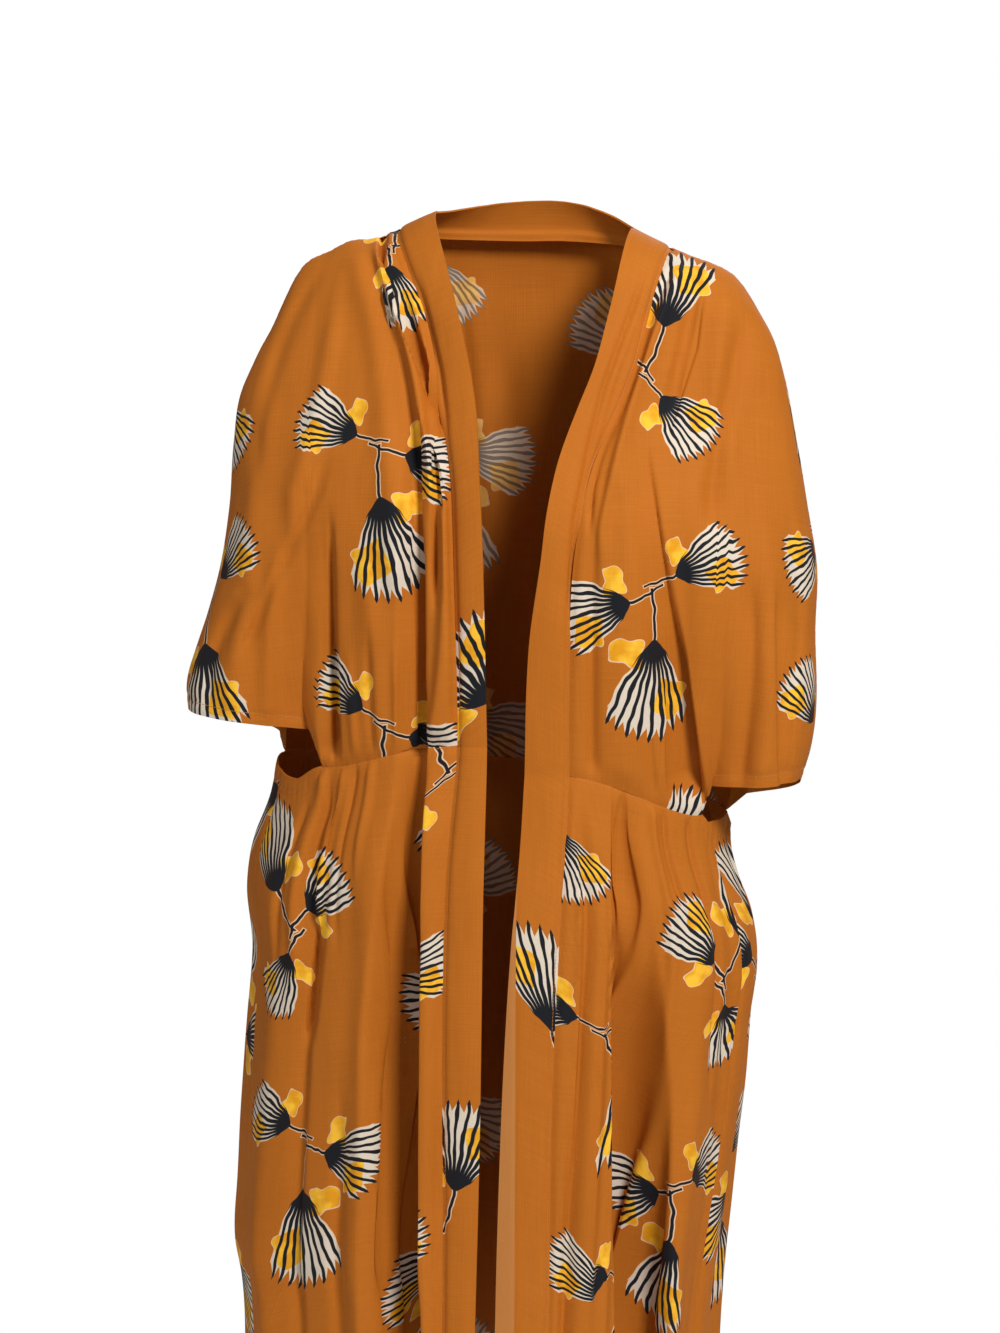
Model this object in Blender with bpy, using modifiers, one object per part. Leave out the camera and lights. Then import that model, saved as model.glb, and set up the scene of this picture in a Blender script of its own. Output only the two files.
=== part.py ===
"""A kimono coat, worn open and hollow, as cloth walls of one millimetre.

X runs to the viewer's right, the front faces -Y and Z is up, in metres. The origin is midway between
the two neck points of the shoulders, which carry the coat. Left and right are the viewer's.
Each piece is cut as the garment's is: the bodice fronts and back have the halves of the sleeves in
one with them, the skirt hangs from the waist seam, and a band runs down both front edges and round
the back of the neck. A piece is a grid of points on a surface worked out from the tables below.
"""

import math
from collections import namedtuple

import bpy
from mathutils import Vector

# Wall and seams
WALL = 0.001
SEAM_GAP = 0.0003

# Levels and depths of the whole coat
SEAM_PLANE_Y = -0.012
SLEEVE_PLANE_Y = -0.030
HEM_Z = -1.22
CHEST_DEPTH = 0.112
BACK_DEPTH = 0.118
SHOULDER_RADIUS = 0.055
SHOULDER_SHARE = 0.5
SHOULDER_LIMIT = 0.4
CHEST_DROP = 0.25
LENS_POWER = 2.3

# The level front of the waist seam, the side seam, and the end of the bodice back at the waist
FLAT_WAIST_ANGLE = 11.5
SIDE_SEAM_ANGLE = 74.0
BACK_END_ANGLE = 98.0

# How far the front of a cuff hangs below the straight line from its inner to its outer end
CUFF_FRONT_DIP = 0.001

# How much closer the columns lie towards the tip of the shoulder, from 0 to 1
TIP_CLOSENESS = 0.6

# The share of a side's height at which the body narrows to the waist, and how late it does so
NARROWS_FROM = 0.40
NARROWS_LATE = 1.8

# The depth and drop at which the bodice's folds are full, and how they flatten at the lower edge
FOLD_DEPTH = 0.03
FOLD_DROP = 0.02
FOLD_FLATTENS_FROM = 0.93
FOLD_FLATTENED = 0.6

# The back neck
NECK_SEAM_HALF_DEPTH = 0.072
NECK_EDGE_HALF_DEPTH = 0.060
NECK_SEAM_BACK_Z = -0.020
NECK_EDGE_BACK_Z = 0.010
# The room that two walls need where a band is sewn on at an angle, in front and round the neck
BAND_SLACK = 0.0002
NECK_SLACK = 0.0006
BAND_CROWN = 0.0015
# How far the free edge of a front band stands before its seam: beside the seam, over the chest, hem
BAND_FORWARD = 0.002
BAND_CHEST_FORWARD = 0.006
BAND_HEM_FORWARD = 0.004
# Degrees of the skirt, and metres of the bodice, over which the folds rise beside a front band
BAND_FLATNESS = 3.0
BAND_EASE = 0.022

# Points along each piece
ROWS_BODICE = 17
ROWS_SKIRT = 11
COLUMNS_TORSO = 13
COLUMNS_EDGE = 1
COLUMNS_CUFF = 8
COLUMNS_NECK = 5
COLUMNS_SKIRT_FRONT = 26
COLUMNS_SKIRT_BACK = 56
COLUMNS_BAND = 3

Edge = namedtuple("Edge", "z x")
Section = namedtuple("Section", "z reach front back")
Side = namedtuple(
    "Side",
    "sign neck_x neck_z seam_x seam_z waist_front_z waist_pinch_z waist_dip_z waist_side_z "
    "waist_back_z pinch_angle front_inner back_inner outer_z front_round back_round back_dip",
)

# The arm opening reaches down to the waist: the front's edge of it starts at the pinch angle, the
# skirt's top is free from there to the end of the back, and inner points are where the cuffs begin
SIDES = {
    "left": Side(
        sign=-1,
        neck_x=-0.084,
        neck_z=-0.002,
        seam_x=-0.118,
        seam_z=-0.016,
        waist_front_z=-0.453,
        waist_pinch_z=-0.477,
        waist_dip_z=-0.490,
        waist_side_z=-0.474,
        waist_back_z=-0.478,
        pinch_angle=49.0,
        front_inner=(-0.187, -0.068, -0.4455),
        back_inner=(-0.236, 0.028, -0.458),
        outer_z=-0.430,
        front_round=0.030,
        back_round=0.060,
        back_dip=0.010,
    ),
    "right": Side(
        sign=1,
        neck_x=0.085,
        neck_z=-0.018,
        seam_x=0.119,
        seam_z=-0.034,
        waist_front_z=-0.476,
        waist_pinch_z=-0.515,
        waist_dip_z=-0.522,
        waist_side_z=-0.518,
        waist_back_z=-0.496,
        pinch_angle=65.0,
        front_inner=(0.161, -0.061, -0.4885),
        back_inner=(0.182, 0.020, -0.504),
        outer_z=-0.484,
        front_round=0.026,
        back_round=0.036,
        back_dip=0.010,
    ),
}

# The shoulder seam, from the band to the tip of the shoulder
SHOULDER = {
    "left": (
        Edge(-0.016, -0.118),
        Edge(-0.024, -0.139),
        Edge(-0.026, -0.160),
        Edge(-0.034, -0.178),
        Edge(-0.045, -0.200),
        Edge(-0.058, -0.210),
    ),
    "right": (
        Edge(-0.034, 0.119),
        Edge(-0.041, 0.136),
        Edge(-0.048, 0.155),
        Edge(-0.058, 0.172),
        Edge(-0.072, 0.183),
        Edge(-0.085, 0.190),
    ),
}

# The outline over the arm, from the tip of the shoulder to the outer end of the cuff
OVERARM = {
    "left": (
        Edge(-0.058, -0.210),
        Edge(-0.098, -0.228),
        Edge(-0.133, -0.246),
        Edge(-0.165, -0.258),
        Edge(-0.199, -0.262),
        Edge(-0.257, -0.265),
        Edge(-0.304, -0.272),
        Edge(-0.346, -0.284),
        Edge(-0.381, -0.296),
        Edge(-0.409, -0.303),
        Edge(-0.430, -0.301),
    ),
    "right": (
        Edge(-0.085, 0.190),
        Edge(-0.108, 0.204),
        Edge(-0.143, 0.215),
        Edge(-0.192, 0.225),
        Edge(-0.248, 0.235),
        Edge(-0.308, 0.245),
        Edge(-0.360, 0.244),
        Edge(-0.423, 0.245),
        Edge(-0.460, 0.240),
        Edge(-0.484, 0.232),
    ),
}

# Where the band is sewn to the fronts, and its free edge, from the neck point to the hem
BAND_SEAM = {
    "left": (
        Edge(-0.016, -0.118),
        Edge(-0.055, -0.098),
        Edge(-0.097, -0.080),
        Edge(-0.180, -0.060),
        Edge(-0.230, -0.051),
        Edge(-0.296, -0.048),
        Edge(-0.453, -0.048),
        Edge(-0.566, -0.056),
        Edge(-0.956, -0.058),
        Edge(-1.220, -0.063),
    ),
    "right": (
        Edge(-0.034, 0.119),
        Edge(-0.068, 0.112),
        Edge(-0.097, 0.106),
        Edge(-0.136, 0.098),
        Edge(-0.171, 0.086),
        Edge(-0.212, 0.070),
        Edge(-0.255, 0.060),
        Edge(-0.294, 0.053),
        Edge(-0.391, 0.048),
        Edge(-0.514, 0.045),
        Edge(-0.622, 0.040),
        Edge(-0.750, 0.035),
        Edge(-0.950, 0.033),
        Edge(-1.220, 0.030),
    ),
}
BAND_EDGE = {
    "left": (
        Edge(-0.002, -0.084),
        Edge(-0.040, -0.068),
        Edge(-0.079, -0.055),
        Edge(-0.163, -0.032),
        Edge(-0.246, -0.024),
        Edge(-0.296, -0.0225),
        Edge(-0.451, -0.022),
        Edge(-0.582, -0.0235),
        Edge(-0.752, -0.025),
        Edge(-0.953, -0.029),
        Edge(-1.220, -0.034),
    ),
    "right": (
        Edge(-0.018, 0.085),
        Edge(-0.068, 0.079),
        Edge(-0.097, 0.0735),
        Edge(-0.136, 0.065),
        Edge(-0.171, 0.053),
        Edge(-0.212, 0.040),
        Edge(-0.255, 0.0315),
        Edge(-0.294, 0.0265),
        Edge(-0.366, 0.0156),
        Edge(-0.477, 0.0097),
        Edge(-0.547, 0.0064),
        Edge(-0.624, 0.0005),
        Edge(-0.727, -0.0055),
        Edge(-0.882, -0.0106),
        Edge(-1.220, -0.0150),
    ),
}

# Sections of the skirt at the level of the side seam, from the middle of the coat
SKIRT = {
    "left": (
        Section(-0.474, 0.229, 0.115, 0.098),
        Section(-0.500, 0.234, 0.117, 0.106),
        Section(-0.540, 0.247, 0.121, 0.115),
        Section(-0.588, 0.254, 0.125, 0.124),
        Section(-0.640, 0.249, 0.128, 0.130),
        Section(-0.705, 0.254, 0.130, 0.133),
        Section(-0.850, 0.263, 0.132, 0.135),
        Section(-0.905, 0.265, 0.134, 0.135),
        Section(-0.940, 0.259, 0.135, 0.136),
        Section(-1.000, 0.256, 0.137, 0.138),
        Section(-1.220, 0.262, 0.142, 0.145),
    ),
    "right": (
        Section(-0.518, 0.167, 0.115, 0.098),
        Section(-0.544, 0.168, 0.118, 0.106),
        Section(-0.583, 0.180, 0.122, 0.116),
        Section(-0.610, 0.190, 0.125, 0.122),
        Section(-0.652, 0.194, 0.128, 0.130),
        Section(-0.700, 0.188, 0.130, 0.133),
        Section(-0.760, 0.182, 0.131, 0.134),
        Section(-0.825, 0.173, 0.132, 0.135),
        Section(-0.960, 0.156, 0.136, 0.137),
        Section(-1.220, 0.152, 0.142, 0.145),
    ),
}
SECTION_MIDDLE_Y = -0.003

# Folds of the bodice: three places down its crest, how far it runs to either side, and its height
Fold = namedtuple("Fold", "x1 z1 x2 z2 x3 z3 to_left to_right height fade")
BODICE_FOLDS = {
    "bodice_front_left": (
        Fold(-0.133, -0.029, -0.082, -0.150, -0.072, -0.455, 0.006, 0.016, 0.009, 0.03),
        Fold(-0.150, -0.030, -0.118, -0.140, -0.100, -0.300, 0.012, 0.012, 0.005, 0.04),
        Fold(-0.160, -0.280, -0.160, -0.370, -0.163, -0.478, 0.014, 0.006, -0.009, 0.08),
        Fold(-0.225, -0.140, -0.232, -0.260, -0.250, -0.430, 0.014, 0.014, 0.005, 0.08),
        Fold(-0.125, -0.300, -0.120, -0.380, -0.118, -0.460, 0.010, 0.010, 0.004, 0.05),
    ),
    "bodice_front_right": (
        Fold(0.135, -0.045, 0.112, -0.120, 0.090, -0.220, 0.010, 0.012, 0.005, 0.03),
        Fold(0.172, -0.070, 0.168, -0.130, 0.172, -0.200, 0.012, 0.012, 0.005, 0.04),
        Fold(0.140, -0.270, 0.141, -0.380, 0.143, -0.510, 0.012, 0.012, -0.006, 0.08),
        Fold(0.205, -0.250, 0.214, -0.360, 0.205, -0.480, 0.010, 0.010, 0.005, 0.06),
        Fold(0.100, -0.200, 0.095, -0.330, 0.092, -0.470, 0.016, 0.016, 0.004, 0.08),
    ),
    "bodice_back": (
        Fold(-0.120, -0.060, -0.110, -0.240, -0.095, -0.470, 0.018, 0.014, 0.008, 0.06),
        Fold(-0.045, -0.120, -0.040, -0.300, -0.045, -0.480, 0.014, 0.018, 0.006, 0.08),
        Fold(0.030, -0.100, 0.040, -0.300, 0.036, -0.490, 0.018, 0.014, 0.007, 0.08),
        Fold(0.110, -0.070, 0.100, -0.260, 0.090, -0.490, 0.014, 0.018, 0.008, 0.06),
        Fold(-0.215, -0.130, -0.225, -0.270, -0.240, -0.440, 0.016, 0.016, 0.007, 0.06),
        Fold(-0.178, -0.200, -0.166, -0.340, -0.165, -0.480, 0.014, 0.014, -0.010, 0.08),
        Fold(0.190, -0.150, 0.195, -0.290, 0.190, -0.470, 0.014, 0.014, 0.007, 0.06),
        Fold(0.135, -0.250, 0.136, -0.380, 0.138, -0.500, 0.014, 0.014, -0.008, 0.08),
    ),
}

# Folds of the skirt: degrees round it from the middle of the front, with the right side positive.
# A fold rises over a share of the skirt's height, and is full at another share of it
PLEAT_RISE = 0.12
PLEAT_FULL_AT = 0.625
Pleat = namedtuple("Pleat", "at_waist at_hem begin to_left to_right height_top height_hem")
SKIRT_FOLDS = (
    Pleat(-17.8, -15.6, 0.00, 1.0, 3.0, 0.005, 0.008),
    Pleat(-21.0, -19.0, 0.00, 2.2, 1.9, -0.006, -0.018),
    Pleat(-29.0, -29.0, 0.05, 4.0, 4.0, 0.003, 0.010),
    Pleat(-45.7, -50.0, 0.00, 3.0, 1.8, -0.009, -0.006),
    Pleat(-58.0, -61.0, 0.05, 6.0, 6.0, 0.003, 0.009),
    Pleat(-88.0, -86.0, 0.04, 7.0, 5.0, 0.003, 0.005),
    Pleat(20.0, 15.5, 0.02, 1.8, 2.2, -0.004, -0.008),
    Pleat(28.0, 29.0, 0.10, 7.0, 2.4, 0.002, 0.010),
    Pleat(38.0, 40.0, 0.10, 3.0, 5.0, -0.003, -0.012),
    Pleat(52.0, 55.0, 0.05, 5.5, 5.5, 0.003, 0.010),
    Pleat(68.0, 72.0, 0.05, 5.0, 5.0, -0.003, -0.006),
    Pleat(97.0, 96.0, 0.00, 5.0, 5.0, -0.004, -0.014),
    Pleat(112.0, 113.0, 0.00, 5.5, 5.5, 0.005, 0.016),
    Pleat(127.0, 130.0, 0.00, 5.0, 5.0, -0.004, -0.014),
    Pleat(143.0, 146.0, 0.00, 6.0, 5.0, 0.006, 0.018),
    Pleat(160.0, 161.0, 0.00, 5.0, 5.5, -0.004, -0.015),
    Pleat(176.0, 178.0, 0.00, 6.0, 6.0, 0.006, 0.016),
    Pleat(192.0, 194.0, 0.00, 5.0, 5.0, -0.005, -0.016),
    Pleat(207.0, 210.0, 0.00, 5.5, 6.0, 0.006, 0.018),
    Pleat(222.0, 226.0, 0.00, 5.0, 5.0, -0.004, -0.014),
    Pleat(238.0, 242.0, 0.00, 6.0, 5.0, 0.005, 0.016),
    Pleat(254.0, 258.0, 0.00, 5.0, 5.0, -0.004, -0.012),
)

# Colour, roughness and metallic value of the woven cloth
CLOTH_COLOUR = (0.479, 0.138, 0.012, 1.0)
BAND_COLOUR = (0.440, 0.122, 0.012, 1.0)
CLOTH_ROUGHNESS = 0.8
CLOTH_METALLIC = 0.0


def mix(a, b, share):
    return a + (b - a) * share


def ease(share):
    share = min(max(share, 0.0), 1.0)
    return share * share * (3 - 2 * share)


def read(rows, column, by, at):
    """A column of a table at a value of another column, on a smooth curve through its rows."""
    keys = [getattr(row, by) for row in rows]
    values = [getattr(row, column) for row in rows]
    if keys[0] > keys[-1]:
        keys, values = keys[::-1], values[::-1]
    at = min(max(at, keys[0]), keys[-1])
    last = len(keys) - 1
    i = max(k for k in range(last) if keys[k] <= at)
    steps = [(values[k + 1] - values[k]) / (keys[k + 1] - keys[k]) for k in range(last)]
    before = steps[max(i - 1, 0)]
    after = steps[min(i + 1, last - 1)]
    span = keys[i + 1] - keys[i]
    slope_in = (before + steps[i]) / 2 * span
    slope_out = (after + steps[i]) / 2 * span
    t = (at - keys[i]) / span
    return (
        values[i] * (2 * t**3 - 3 * t**2 + 1)
        + slope_in * (t**3 - 2 * t**2 + t)
        + values[i + 1] * (3 * t**2 - 2 * t**3)
        + slope_out * (t**3 - t**2)
    )


def fold_line(fold, z):
    """The X of a fold's crest at a level, on the parabola through its three places."""
    a = (z - fold.z2) * (z - fold.z3) / ((fold.z1 - fold.z2) * (fold.z1 - fold.z3))
    b = (z - fold.z1) * (z - fold.z3) / ((fold.z2 - fold.z1) * (fold.z2 - fold.z3))
    c = (z - fold.z1) * (z - fold.z2) / ((fold.z3 - fold.z1) * (fold.z3 - fold.z2))
    return a * fold.x1 + b * fold.x2 + c * fold.x3


def bell(distance, to_left, to_right):
    """The height across a fold, from 1 on its crest."""
    reach = to_left if distance < 0 else to_right
    return math.exp(-((distance / reach) ** 2))


def bodice_fold_height(name, x, z):
    total = 0.0
    for fold in BODICE_FOLDS[name]:
        shown = ease((fold.z1 - z) / fold.fade + 0.5) * ease((z - fold.z3) / fold.fade + 1.0)
        if shown > 0:
            level = min(max(z, fold.z3), fold.z1)
            across = x - fold_line(fold, level)
            total += fold.height * shown * bell(across, fold.to_left, fold.to_right)
    return total


def skirt_fold_height(angle, share):
    total = 0.0
    for pleat in SKIRT_FOLDS:
        away = angle - mix(pleat.at_waist, pleat.at_hem, share)
        away = (away + 180.0) % 360.0 - 180.0
        shown = ease((share - pleat.begin) / PLEAT_RISE)
        height = mix(pleat.height_top, pleat.height_hem, min(share / PLEAT_FULL_AT, 1.0))
        total += height * shown * bell(away, pleat.to_left, pleat.to_right)
    return total


def side_at(angle):
    """The side that an angle round the skirt lies on."""
    turned = (angle + 180.0) % 360.0 - 180.0
    return "left" if turned < 0 else "right"


def waist_z(angle):
    """The level of the waist seam round the coat, and of the skirt's free edge under the arm."""
    turned = abs((angle + 180.0) % 360.0 - 180.0)
    side = SIDES[side_at(angle)]
    pinch = side.pinch_angle
    dip = (pinch + SIDE_SEAM_ANGLE) / 2
    if turned <= pinch:
        share = (turned - FLAT_WAIST_ANGLE) / (pinch - FLAT_WAIST_ANGLE)
        return mix(side.waist_front_z, side.waist_pinch_z, ease(share))
    if turned <= dip:
        return mix(side.waist_pinch_z, side.waist_dip_z, ease((turned - pinch) / (dip - pinch)))
    if turned <= BACK_END_ANGLE:
        share = ease((turned - dip) / (BACK_END_ANGLE - dip))
        return mix(side.waist_dip_z, side.waist_side_z, share)
    middle_back = (SIDES["left"].waist_back_z + SIDES["right"].waist_back_z) / 2
    share = ease((turned - BACK_END_ANGLE) / (180.0 - BACK_END_ANGLE))
    return mix(side.waist_side_z, middle_back, share)


def skirt_point(angle, share, folded=True):
    """A point round the skirt, a share of the way from the waist seam to the hem."""
    name = side_at(angle)
    side = SIDES[name]
    level = mix(side.waist_side_z, HEM_Z, share)
    reach = read(SKIRT[name], "reach", "z", level)
    turn = math.radians(angle)
    column = "front" if math.cos(turn) > 0 else "back"
    depth = read(SKIRT[name], column, "z", level)
    out = skirt_fold_height(angle, share) if folded else 0.0
    if column == "front":
        out *= ease((abs(angle) - abs(band_seam_angle(name, share))) / BAND_FLATNESS)
    x = (reach + out) * math.sin(turn)
    y = SECTION_MIDDLE_Y - (depth + out) * math.cos(turn)
    return (x, y, mix(waist_z(angle), HEM_Z, share))


def band_seam_angle(name, share):
    """The angle round the skirt at which the band is sewn on."""
    side = SIDES[name]
    x = read(BAND_SEAM[name], "x", "z", mix(side.waist_front_z, HEM_Z, share))
    reach = read(SKIRT[name], "reach", "z", mix(side.waist_side_z, HEM_Z, share))
    return math.degrees(math.asin(x / reach))


def front_waist_angle(name):
    return band_seam_angle(name, 0.0)


def top_of_front(name, share):
    """The shoulder seam, from the band to the tip of the shoulder."""
    rows = SHOULDER[name]
    x = mix(rows[0].x, rows[-1].x, share)
    return (x, SEAM_PLANE_Y, read(rows, "z", "x", x))


def top_of_back(name, share, neck_share):
    """The back neck seam and then the shoulder seam, from the middle of the back."""
    side = SIDES[name]
    if share >= neck_share:
        return top_of_front(name, (share - neck_share) / (1 - neck_share))
    turn = math.pi / 2 * share / neck_share
    z = mix(NECK_SEAM_BACK_Z, side.seam_z, math.sin(turn) ** 2)
    return (
        side.seam_x * math.sin(turn),
        SEAM_PLANE_Y + NECK_SEAM_HALF_DEPTH * math.cos(turn),
        z,
    )


def cuff_point(name, share, back):
    """The hem of the sleeve, from its inner end to its outer end, round the front or the back."""
    side = SIDES[name]
    inner = side.back_inner if back else side.front_inner
    bulge = side.back_round if back else -side.front_round
    dip = side.back_dip if back else CUFF_FRONT_DIP
    quarter = math.pi / 2 * share
    round_off = math.sin(2 * quarter)
    return (
        mix(inner[0], OVERARM[name][-1].x, math.sin(quarter)),
        mix(SLEEVE_PLANE_Y, inner[1], math.cos(quarter)) + bulge * round_off,
        mix(inner[2], side.outer_z, math.sin(quarter)) - dip * round_off,
    )


def foot_of_bodice(name, column, back):
    """The lower boundary: the waist seam, the edge of the arm opening and the cuff, by column."""
    side = SIDES[name]
    end = (BACK_END_ANGLE if back else side.pinch_angle) * side.sign
    if column <= COLUMNS_TORSO:
        start = 180.0 * side.sign if back else front_waist_angle(name)
        return skirt_point(mix(start, end, column / COLUMNS_TORSO), 0.0, folded=False)
    column -= COLUMNS_TORSO
    if column <= COLUMNS_EDGE:
        corner = skirt_point(end, 0.0, folded=False)
        inner = cuff_point(name, 0.0, back)
        return tuple(mix(a, b, column / COLUMNS_EDGE) for a, b in zip(corner, inner))
    return cuff_point(name, (column - COLUMNS_EDGE) / COLUMNS_CUFF, back)


def drop_of(share, height):
    """How far down a column lies, with its points closer over the round of the shoulder."""
    radius = min(SHOULDER_RADIUS, height * SHOULDER_LIMIT)
    length = height - radius + radius * math.pi / 2
    run = share * length
    if run < radius * math.pi / 2:
        return radius * (1 - math.cos(run / radius))
    return radius + run - radius * math.pi / 2


def share_at_top(share):
    """The place of a column along the top, with columns closer towards the tip of the shoulder."""
    return mix(share, math.sin(math.pi / 2 * share), TIP_CLOSENESS)


def bodice_point(name, back, column, row):
    """A point of one half of the bodice, with its sleeve, by column from the middle and row."""
    columns = COLUMNS_TORSO + COLUMNS_EDGE + COLUMNS_CUFF
    share = column / columns
    top_share = share_at_top(share)
    if back:
        neck_share = share_at_top(COLUMNS_NECK / columns)
        top = top_of_back(name, top_share, neck_share)
    else:
        top = top_of_front(name, top_share)
    foot = foot_of_bodice(name, column, back)
    height = top[2] - foot[2]
    drop = drop_of(row / ROWS_BODICE, height)
    down = drop / height
    z = top[2] - drop
    outer_rows = OVERARM[name]
    outer_z = mix(outer_rows[0].z, outer_rows[-1].z, down)
    outer = read(outer_rows, "x", "z", outer_z) - mix(outer_rows[0].x, outer_rows[-1].x, down)
    x = mix(top[0], foot[0], down) + share * outer
    if not back:
        seam_rows = BAND_SEAM[name]
        waist_x = read(seam_rows, "x", "z", SIDES[name].waist_front_z)
        seam_z = mix(seam_rows[0].z, SIDES[name].waist_front_z, down)
        bend = read(seam_rows, "x", "z", seam_z) - mix(seam_rows[0].x, waist_x, down)
        x += (1 - share) * bend
    plane = mix(SEAM_PLANE_Y, SLEEVE_PLANE_Y, down)
    reach = abs(read(outer_rows, "x", "z", outer_z))
    lens = max(1 - min(abs(x) / reach, 1.0) ** LENS_POWER, 0.0) ** (1 / LENS_POWER)
    full = (BACK_DEPTH if back else CHEST_DEPTH) * lens
    round_off = math.sqrt(1 - (1 - min(drop / SHOULDER_RADIUS, 1.0)) ** 2)
    rise = SHOULDER_SHARE * round_off + (1 - SHOULDER_SHARE) * ease(drop / CHEST_DROP)
    depth = mix(abs(top[1] - SEAM_PLANE_Y), full, rise)
    foot_depth = foot[1] - SLEEVE_PLANE_Y if back else SLEEVE_PLANE_Y - foot[1]
    narrowed = max((down - NARROWS_FROM) / (1 - NARROWS_FROM), 0.0) ** NARROWS_LATE
    depth = mix(depth, foot_depth, narrowed)
    piece = "bodice_back" if back else f"bodice_front_{name}"
    flattened = FOLD_FLATTENED * ease((down - FOLD_FLATTENS_FROM) / (1 - FOLD_FLATTENS_FROM))
    held = min(depth / FOLD_DEPTH, 1.0) * ease(drop / FOLD_DROP) * (1 - flattened)
    if not back:
        held *= ease(abs(x - read(BAND_SEAM[name], "x", "z", z)) / BAND_EASE)
    depth += bodice_fold_height(piece, x, z) * held
    return (x, plane + (depth if back else -depth), z)


def normal_at(rows, row, column):
    """The direction square to a grid of points at one of them."""
    last_row = len(rows) - 1
    last_column = len(rows[0]) - 1
    above = rows[max(row - 1, 0)][column]
    below = rows[min(row + 1, last_row)][column]
    before = rows[row][max(column - 1, 0)]
    after = rows[row][min(column + 1, last_column)]
    down = Vector(below) - Vector(above)
    across = Vector(after) - Vector(before)
    return down.cross(across).normalized()


def clear_of_seam(rows, row, column, direction):
    """Moves a point at a seam back by half the gap, and more where the wall leans to its neighbour."""
    lean = abs(normal_at(rows, row, column).dot(direction))
    back_off = SEAM_GAP / 2 + WALL / 2 * lean
    return tuple(Vector(rows[row][column]) + direction * back_off)


def parted(rows, back):
    """Bodice points moved clear of the seams: shoulder and neck, over the arm, and waist."""
    columns = COLUMNS_TORSO + COLUMNS_EDGE + COLUMNS_CUFF
    foot = len(rows) - 1
    apart = Vector((0.0, 1.0 if back else -1.0, 0.0))
    up = Vector((0.0, 0.0, 1.0))
    moved = [list(row) for row in rows]
    for column in range(columns + 1):
        moved[0][column] = clear_of_seam(rows, 0, column, apart)
        if column <= COLUMNS_TORSO:
            moved[foot][column] = clear_of_seam(rows, foot, column, up)
    for row in range(1, foot + 1):
        moved[row][columns] = clear_of_seam(rows, row, columns, apart)
    return moved


def edge_of_band(name, share):
    """The seam and the free edge of a front band, a share of the way from the neck to the waist."""
    seam = bodice_point(name, False, 0, share * ROWS_BODICE)
    side = SIDES[name]
    down = (side.seam_z - seam[2]) / (side.seam_z - side.waist_front_z)
    edge_z = mix(side.neck_z, side.waist_front_z, down)
    edge_x = read(BAND_EDGE[name], "x", "z", edge_z)
    over_chest = ease(down * 4) * (1 - ease(down * 1.5 - 0.5))
    forward = BAND_FORWARD + BAND_CHEST_FORWARD * over_chest
    return seam, (edge_x, seam[1] - forward, edge_z)


def skirt_band_lines(name, share):
    """The seam and the free edge of a band below the waist."""
    side = SIDES[name]
    seam = skirt_point(band_seam_angle(name, share), share)
    edge_x = read(BAND_EDGE[name], "x", "z", seam[2])
    forward = mix(BAND_FORWARD, BAND_HEM_FORWARD, share)
    return seam, (edge_x, seam[1] - forward, seam[2])


def back_neck_lines(step):
    """The seam and the free edge of the band round the neck, at a column of the back below it."""
    name = "left" if step < 0 else "right"
    side = SIDES[name]
    columns = COLUMNS_TORSO + COLUMNS_EDGE + COLUMNS_CUFF
    turn = math.pi / 2 * share_at_top(abs(step) / columns) / share_at_top(COLUMNS_NECK / columns)
    across = math.sin(turn)
    back = math.cos(turn)
    seam = (
        side.seam_x * across,
        SEAM_PLANE_Y + NECK_SEAM_HALF_DEPTH * back,
        mix(NECK_SEAM_BACK_Z, side.seam_z, across**2),
    )
    edge = (
        side.neck_x * across,
        SEAM_PLANE_Y + NECK_EDGE_HALF_DEPTH * back,
        mix(NECK_EDGE_BACK_Z, side.neck_z, across**2),
    )
    return seam, edge


def strip_rows(lines, inward, slack=BAND_SLACK):
    """Rows of points from a seam to a free edge, just clear of the seam and slightly crowned."""
    rows = []
    for seam, edge in lines:
        width = math.dist(seam, edge)
        clear = (SEAM_GAP + slack) / width
        row = []
        for column in range(COLUMNS_BAND + 1):
            share = mix(clear, 1.0, column / COLUMNS_BAND)
            crown = BAND_CROWN * math.sin(math.pi * share)
            point = [mix(a, b, share) for a, b in zip(seam, edge)]
            point[1] -= crown * inward
            row.append(tuple(point))
        rows.append(row)
    return rows


def bodice_half(name, back):
    columns = COLUMNS_TORSO + COLUMNS_EDGE + COLUMNS_CUFF
    rows = []
    for row in range(ROWS_BODICE + 1):
        rows.append([bodice_point(name, back, column, row) for column in range(columns + 1)])
    return parted(rows, back)


def bodice_back_rows():
    rows = []
    for left, right in zip(bodice_half("left", True), bodice_half("right", True)):
        middle = tuple((a + b) / 2 for a, b in zip(left[0], right[0]))
        rows.append(left[:0:-1] + [middle] + right[1:])
    return rows


def skirt_rows(start, end, columns):
    """Rows of a skirt panel between two angles, each a function of the share down it."""
    rows = []
    for row in range(ROWS_SKIRT + 1):
        share = row / ROWS_SKIRT
        first = start(share)
        last = end(share)
        points = []
        for column in range(columns + 1):
            angle = mix(first, last, column / columns)
            x, y, z = skirt_point(angle, share)
            if row == 0:
                x, y, z = skirt_point(angle, 0.0, folded=False)
            points.append((x, y, z))
        rows.append(points)
    down = Vector((0.0, 0.0, -1.0))
    rows[0] = [clear_of_seam(rows, 0, column, down) for column in range(columns + 1)]
    return rows


def clear_angle(gap):
    """The angle that a gap takes at the side of the skirt."""
    return math.degrees(gap / SKIRT["right"][0].front)


def skirt_front_rows(name):
    sign = SIDES[name].sign
    side = SIDE_SEAM_ANGLE * sign - clear_angle(SEAM_GAP / 2) * sign
    return skirt_rows(lambda share: band_seam_angle(name, share), lambda share: side, COLUMNS_SKIRT_FRONT)


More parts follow.
